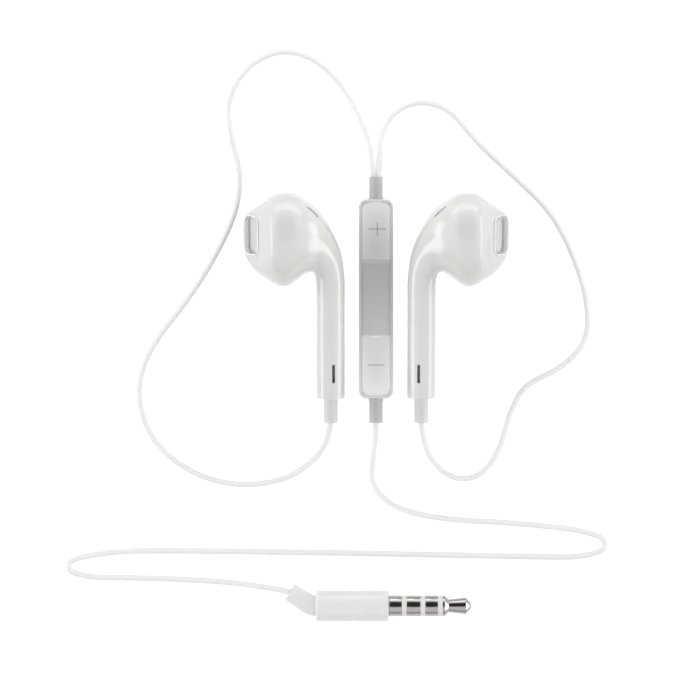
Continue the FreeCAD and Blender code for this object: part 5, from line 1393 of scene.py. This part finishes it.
class EARPHONES_OT_keys(Operator):
    """Makes the three keys and the plus and minus signs on them"""
    bl_idname = "earphones.keys"
    bl_label = "Keys"

    def execute(self, context):
        for name, (body, low, high, outer_end) in KEYS.items():
            finish = "key_satin" if outer_end else "center_key_satin"
            finished(name + "_cap", key_mesh(name, low, high, outer_end), finish, [name],
                     WIDE_SOFT_ANGLE, body)
        for name, (key, centre, size) in SIGNS.items():
            finished(name, sign_bar(name, key, centre, size), "sign_ink", [], body=KEYS[key][0])
        return {"FINISHED"}


PLUG_SHOULDER, PLUG_AXIS, PLUG_RADIUS = 2.1, 52.15, 1.75
# Where each contact and each insulator begins and ends, from the plug's shoulder
CONTACT_RUNS = {
    "plug_sleeve_contact": (0.0, 2.3),
    "plug_ring_two": (3.08, 5.46),
    "plug_ring_one": (6.24, 8.42),
}
INSULATOR_RUNS = [(2.3, 3.08), (5.46, 6.24), (8.42, 9.2)]
CONTACT_BORE, CONTACT_EDGE, INSULATOR_SINK = 0.6, 0.05, 0.03
TIP_START, TIP_LENGTH, TIP_BORE = 9.2, 4.87, 0.3
# The tip behind its nose: how far each ring lies from the tip's start, and its radius
TIP_RINGS = [(0.36, 1.75), (0.42, 1.72), (1.0, 1.14), (1.05, 1.10), (1.12, 1.10), (3.75, 1.41),
             (3.88, 1.43), (3.98, 1.40), (4.72, 0.60)]
NOSE_DEPTH, NOSE_RADIUS, NOSE_STEPS = 0.28, 0.6, 6
BARREL_RADIUS, BARREL_LENGTH, BARREL_EDGE, BARREL_STEPS, BARREL_CAVITY = 2.6, 12.33, 0.5, 8, 9.6
# The grip's hollows: round the contacts' tails, behind them, and round the boot's root
TAIL_BORE, TAIL_LENGTH, CAVITY_BORE, ROOT_BORE = 1.57, 4.2, 1.9, 1.32
BOOT_RADIUS, BOOT_END_RADIUS, BOOT_ROOT, BOOT_LENGTH = 1.72, 1.53, 0.35, 3.6
BOOT_BEND, BOOT_BEND_RADIUS, BOOT_EDGE = 33.0, 2.6, 0.25
BEND_STEPS, BOOT_STEPS, BOOT_EDGE_STEPS = 12, 8, 5


def plug_turned(name, section, closed=True):
    return turned(name, section, closed, (PLUG_SHOULDER, -PLUG_AXIS, BARREL_RADIUS), X_AXIS, Y_AXIS)


def contact_edge(place, start, end):
    """The soft edge at one end of a contact."""
    return corner((place, PLUG_RADIUS - CONTACT_EDGE), CONTACT_EDGE, start, end, 3)


class EARPHONES_OT_plug(Operator):
    """Makes the plug's contacts, rings, grip and bent boot"""
    bl_idname = "earphones.plug"
    bl_label = "Plug"

    def execute(self, context):
        for name, (start, end) in CONTACT_RUNS.items():
            section = [(start, CONTACT_BORE)] + contact_edge(start + CONTACT_EDGE, 180, 90)
            section += contact_edge(end - CONTACT_EDGE, 90, 0) + [(end, CONTACT_BORE)]
            finished(name + "_band", plug_turned(name, section), "contact_plating", [name])
        rings = bmesh.new()
        outside = PLUG_RADIUS - INSULATOR_SINK
        for start, end in INSULATOR_RUNS:
            rings.from_mesh(plug_turned("ring", [(start, CONTACT_BORE), (start, outside),
                                                 (end, outside), (end, CONTACT_BORE)]))
        mesh = bpy.data.meshes.new("insulators")
        rings.to_mesh(mesh)
        rings.free()
        finished("plug_insulator_rings", mesh, "insulator_plain", ["plug_insulators"])
        finished("plug_tip_contact", plug_turned("tip", tip_section(), False), "contact_plating",
                 ["plug_tip"], WIDE_SOFT_ANGLE)
        finished("plug_grip", plug_turned("grip", grip_section()), "grip_gloss", ["plug_barrel"])
        finished("plug_boot_sleeve", swept("boot", boot_rings(), False), "boot_soft", ["plug_boot"],
                 WIDE_SOFT_ANGLE)
        return {"FINISHED"}


def tip_section():
    """The tip's half section: a short land, a waist and a cone that swells to the blunt nose."""
    section = [(TIP_START, TIP_BORE)] + contact_edge(TIP_START + CONTACT_EDGE, 180, 90)
    section += [(TIP_START + place, radius) for place, radius in TIP_RINGS]
    nose = TIP_START + TIP_LENGTH
    for share in even_shares(NOSE_STEPS)[1:-1]:
        angle = math.radians(90 * share)
        section.append((nose - NOSE_DEPTH * (1 - math.sin(angle)), NOSE_RADIUS * math.cos(angle)))
    return section


def grip_section():
    """The grip's closed half section, hollow round the contacts' tails and the boot's root."""
    back = -BARREL_LENGTH
    section = [(back, ROOT_BORE)]
    section += corner((back + BARREL_EDGE, BARREL_RADIUS - BARREL_EDGE), BARREL_EDGE, 180, 90,
                      BARREL_STEPS)
    section += corner((-SOFT_EDGE, BARREL_RADIUS - SOFT_EDGE), SOFT_EDGE, 90, 0)
    section += [(0, TAIL_BORE), (-TAIL_LENGTH, TAIL_BORE), (-TAIL_LENGTH, CAVITY_BORE),
                (-BARREL_CAVITY, CAVITY_BORE), (-BARREL_CAVITY, ROOT_BORE)]
    return section


def boot_rings():
    """Rings of the boot: out of the grip, round its bend and on to its softly rounded end."""
    start = Vector((PLUG_SHOULDER - BARREL_LENGTH, -PLUG_AXIS, BARREL_RADIUS))
    path = [(start + X_AXIS * BOOT_ROOT, -X_AXIS, 0.0)]
    for share in even_shares(BEND_STEPS):
        angle = math.radians(BOOT_BEND) * share
        spot = start + Vector((-math.sin(angle), 1 - math.cos(angle), 0)) * BOOT_BEND_RADIUS
        path.append((spot, Vector((-math.cos(angle), math.sin(angle), 0)), BOOT_BEND_RADIUS * angle))
    spot, heading, gone = path[-1]
    for share in even_shares(BOOT_STEPS)[1:]:
        run = BOOT_LENGTH * share
        path.append((spot + heading * run, heading, gone + run))
    taper = (BOOT_END_RADIUS - BOOT_RADIUS) / path[-1][2]
    rings = [(spot, heading, BOOT_RADIUS + taper * gone) for spot, heading, gone in path]
    end, heading, radius = rings.pop()
    rings += [(end - heading * back, heading, radius - inset)
              for back, inset in round_over(BOOT_EDGE, BOOT_EDGE_STEPS)]
    return [circle(spot, heading.cross(Z_AXIS).normalized(), Z_AXIS, radius)
            for spot, heading, radius in rings]


class EARPHONES_OT_diaphragms(Operator):
    """Makes the thin film of each driver from a copy of its node"""
    bl_idname = "earphones.diaphragms"
    bl_label = "Diaphragms"

    def execute(self, context):
        for side, outlet_way in zip(SIDES, (-1, 1)):
            node = side + "_diaphragm"
            film = finished(side + "_film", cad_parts[node].data.copy(), "film_amber", [node])
            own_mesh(film)
        return {"FINISHED"}


class EARPHONES_OT_inner_parts(Operator):
    """Gives the pieces inside the buds and the remote their finishes"""
    bl_idname = "earphones.inner_parts"
    bl_label = "Inner parts"

    def execute(self, context):
        for name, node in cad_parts.items():
            if node.hide_render:
                continue
            plain = name.replace("left_", "").replace("right_", "")
            found = [finish for part, finish in INNER_FINISHES.items() if plain.startswith(part)]
            if not found:
                raise RuntimeError("no finish for %s" % name)
            if not node.material_slots:
                node.data.materials.append(None)
            for slot in node.material_slots:
                slot.material = bpy.data.materials[found[0]]
        return {"FINISHED"}


OPERATORS = (EARPHONES_OT_camera, EARPHONES_OT_finishes, EARPHONES_OT_cords, EARPHONES_OT_stage,
             EARPHONES_OT_housings, EARPHONES_OT_stems, EARPHONES_OT_outlets, EARPHONES_OT_remote,
             EARPHONES_OT_keys, EARPHONES_OT_plug, EARPHONES_OT_cord_facts, EARPHONES_OT_diaphragms,
             EARPHONES_OT_inner_parts)


class EARPHONES_PT_sidebar(Panel):
    """Lists the steps that make the earphones"""
    bl_label = "Earphones"
    bl_idname = "EARPHONES_PT_sidebar"
    bl_space_type = "VIEW_3D"
    bl_region_type = "UI"
    bl_category = "Earphones"

    def draw(self, context):
        for group in (sizes(), colours(), studio()):
            for name in group.__annotations__:
                self.layout.prop(group, name)
        for step in OPERATORS:
            self.layout.operator(step.bl_idname)


GROUPS = {
    "earphones_sizes": EarphonesSizes,
    "earphones_colours": EarphonesColours,
    "earphones_studio": EarphonesStudio,
}
CLASSES = (*GROUPS.values(), *OPERATORS, EARPHONES_PT_sidebar)


def register():
    for item in CLASSES:
        bpy.utils.register_class(item)
    for name, group in GROUPS.items():
        setattr(bpy.types.Scene, name, PointerProperty(type=group))


def unregister():
    for name in GROUPS:
        delattr(bpy.types.Scene, name)
    for item in reversed(CLASSES):
        bpy.utils.unregister_class(item)


def main():
    register()
    for step in OPERATORS:
        group, name = step.bl_idname.split(".")
        getattr(getattr(bpy.ops, group), name)()


if __name__ == "__main__":
    main()
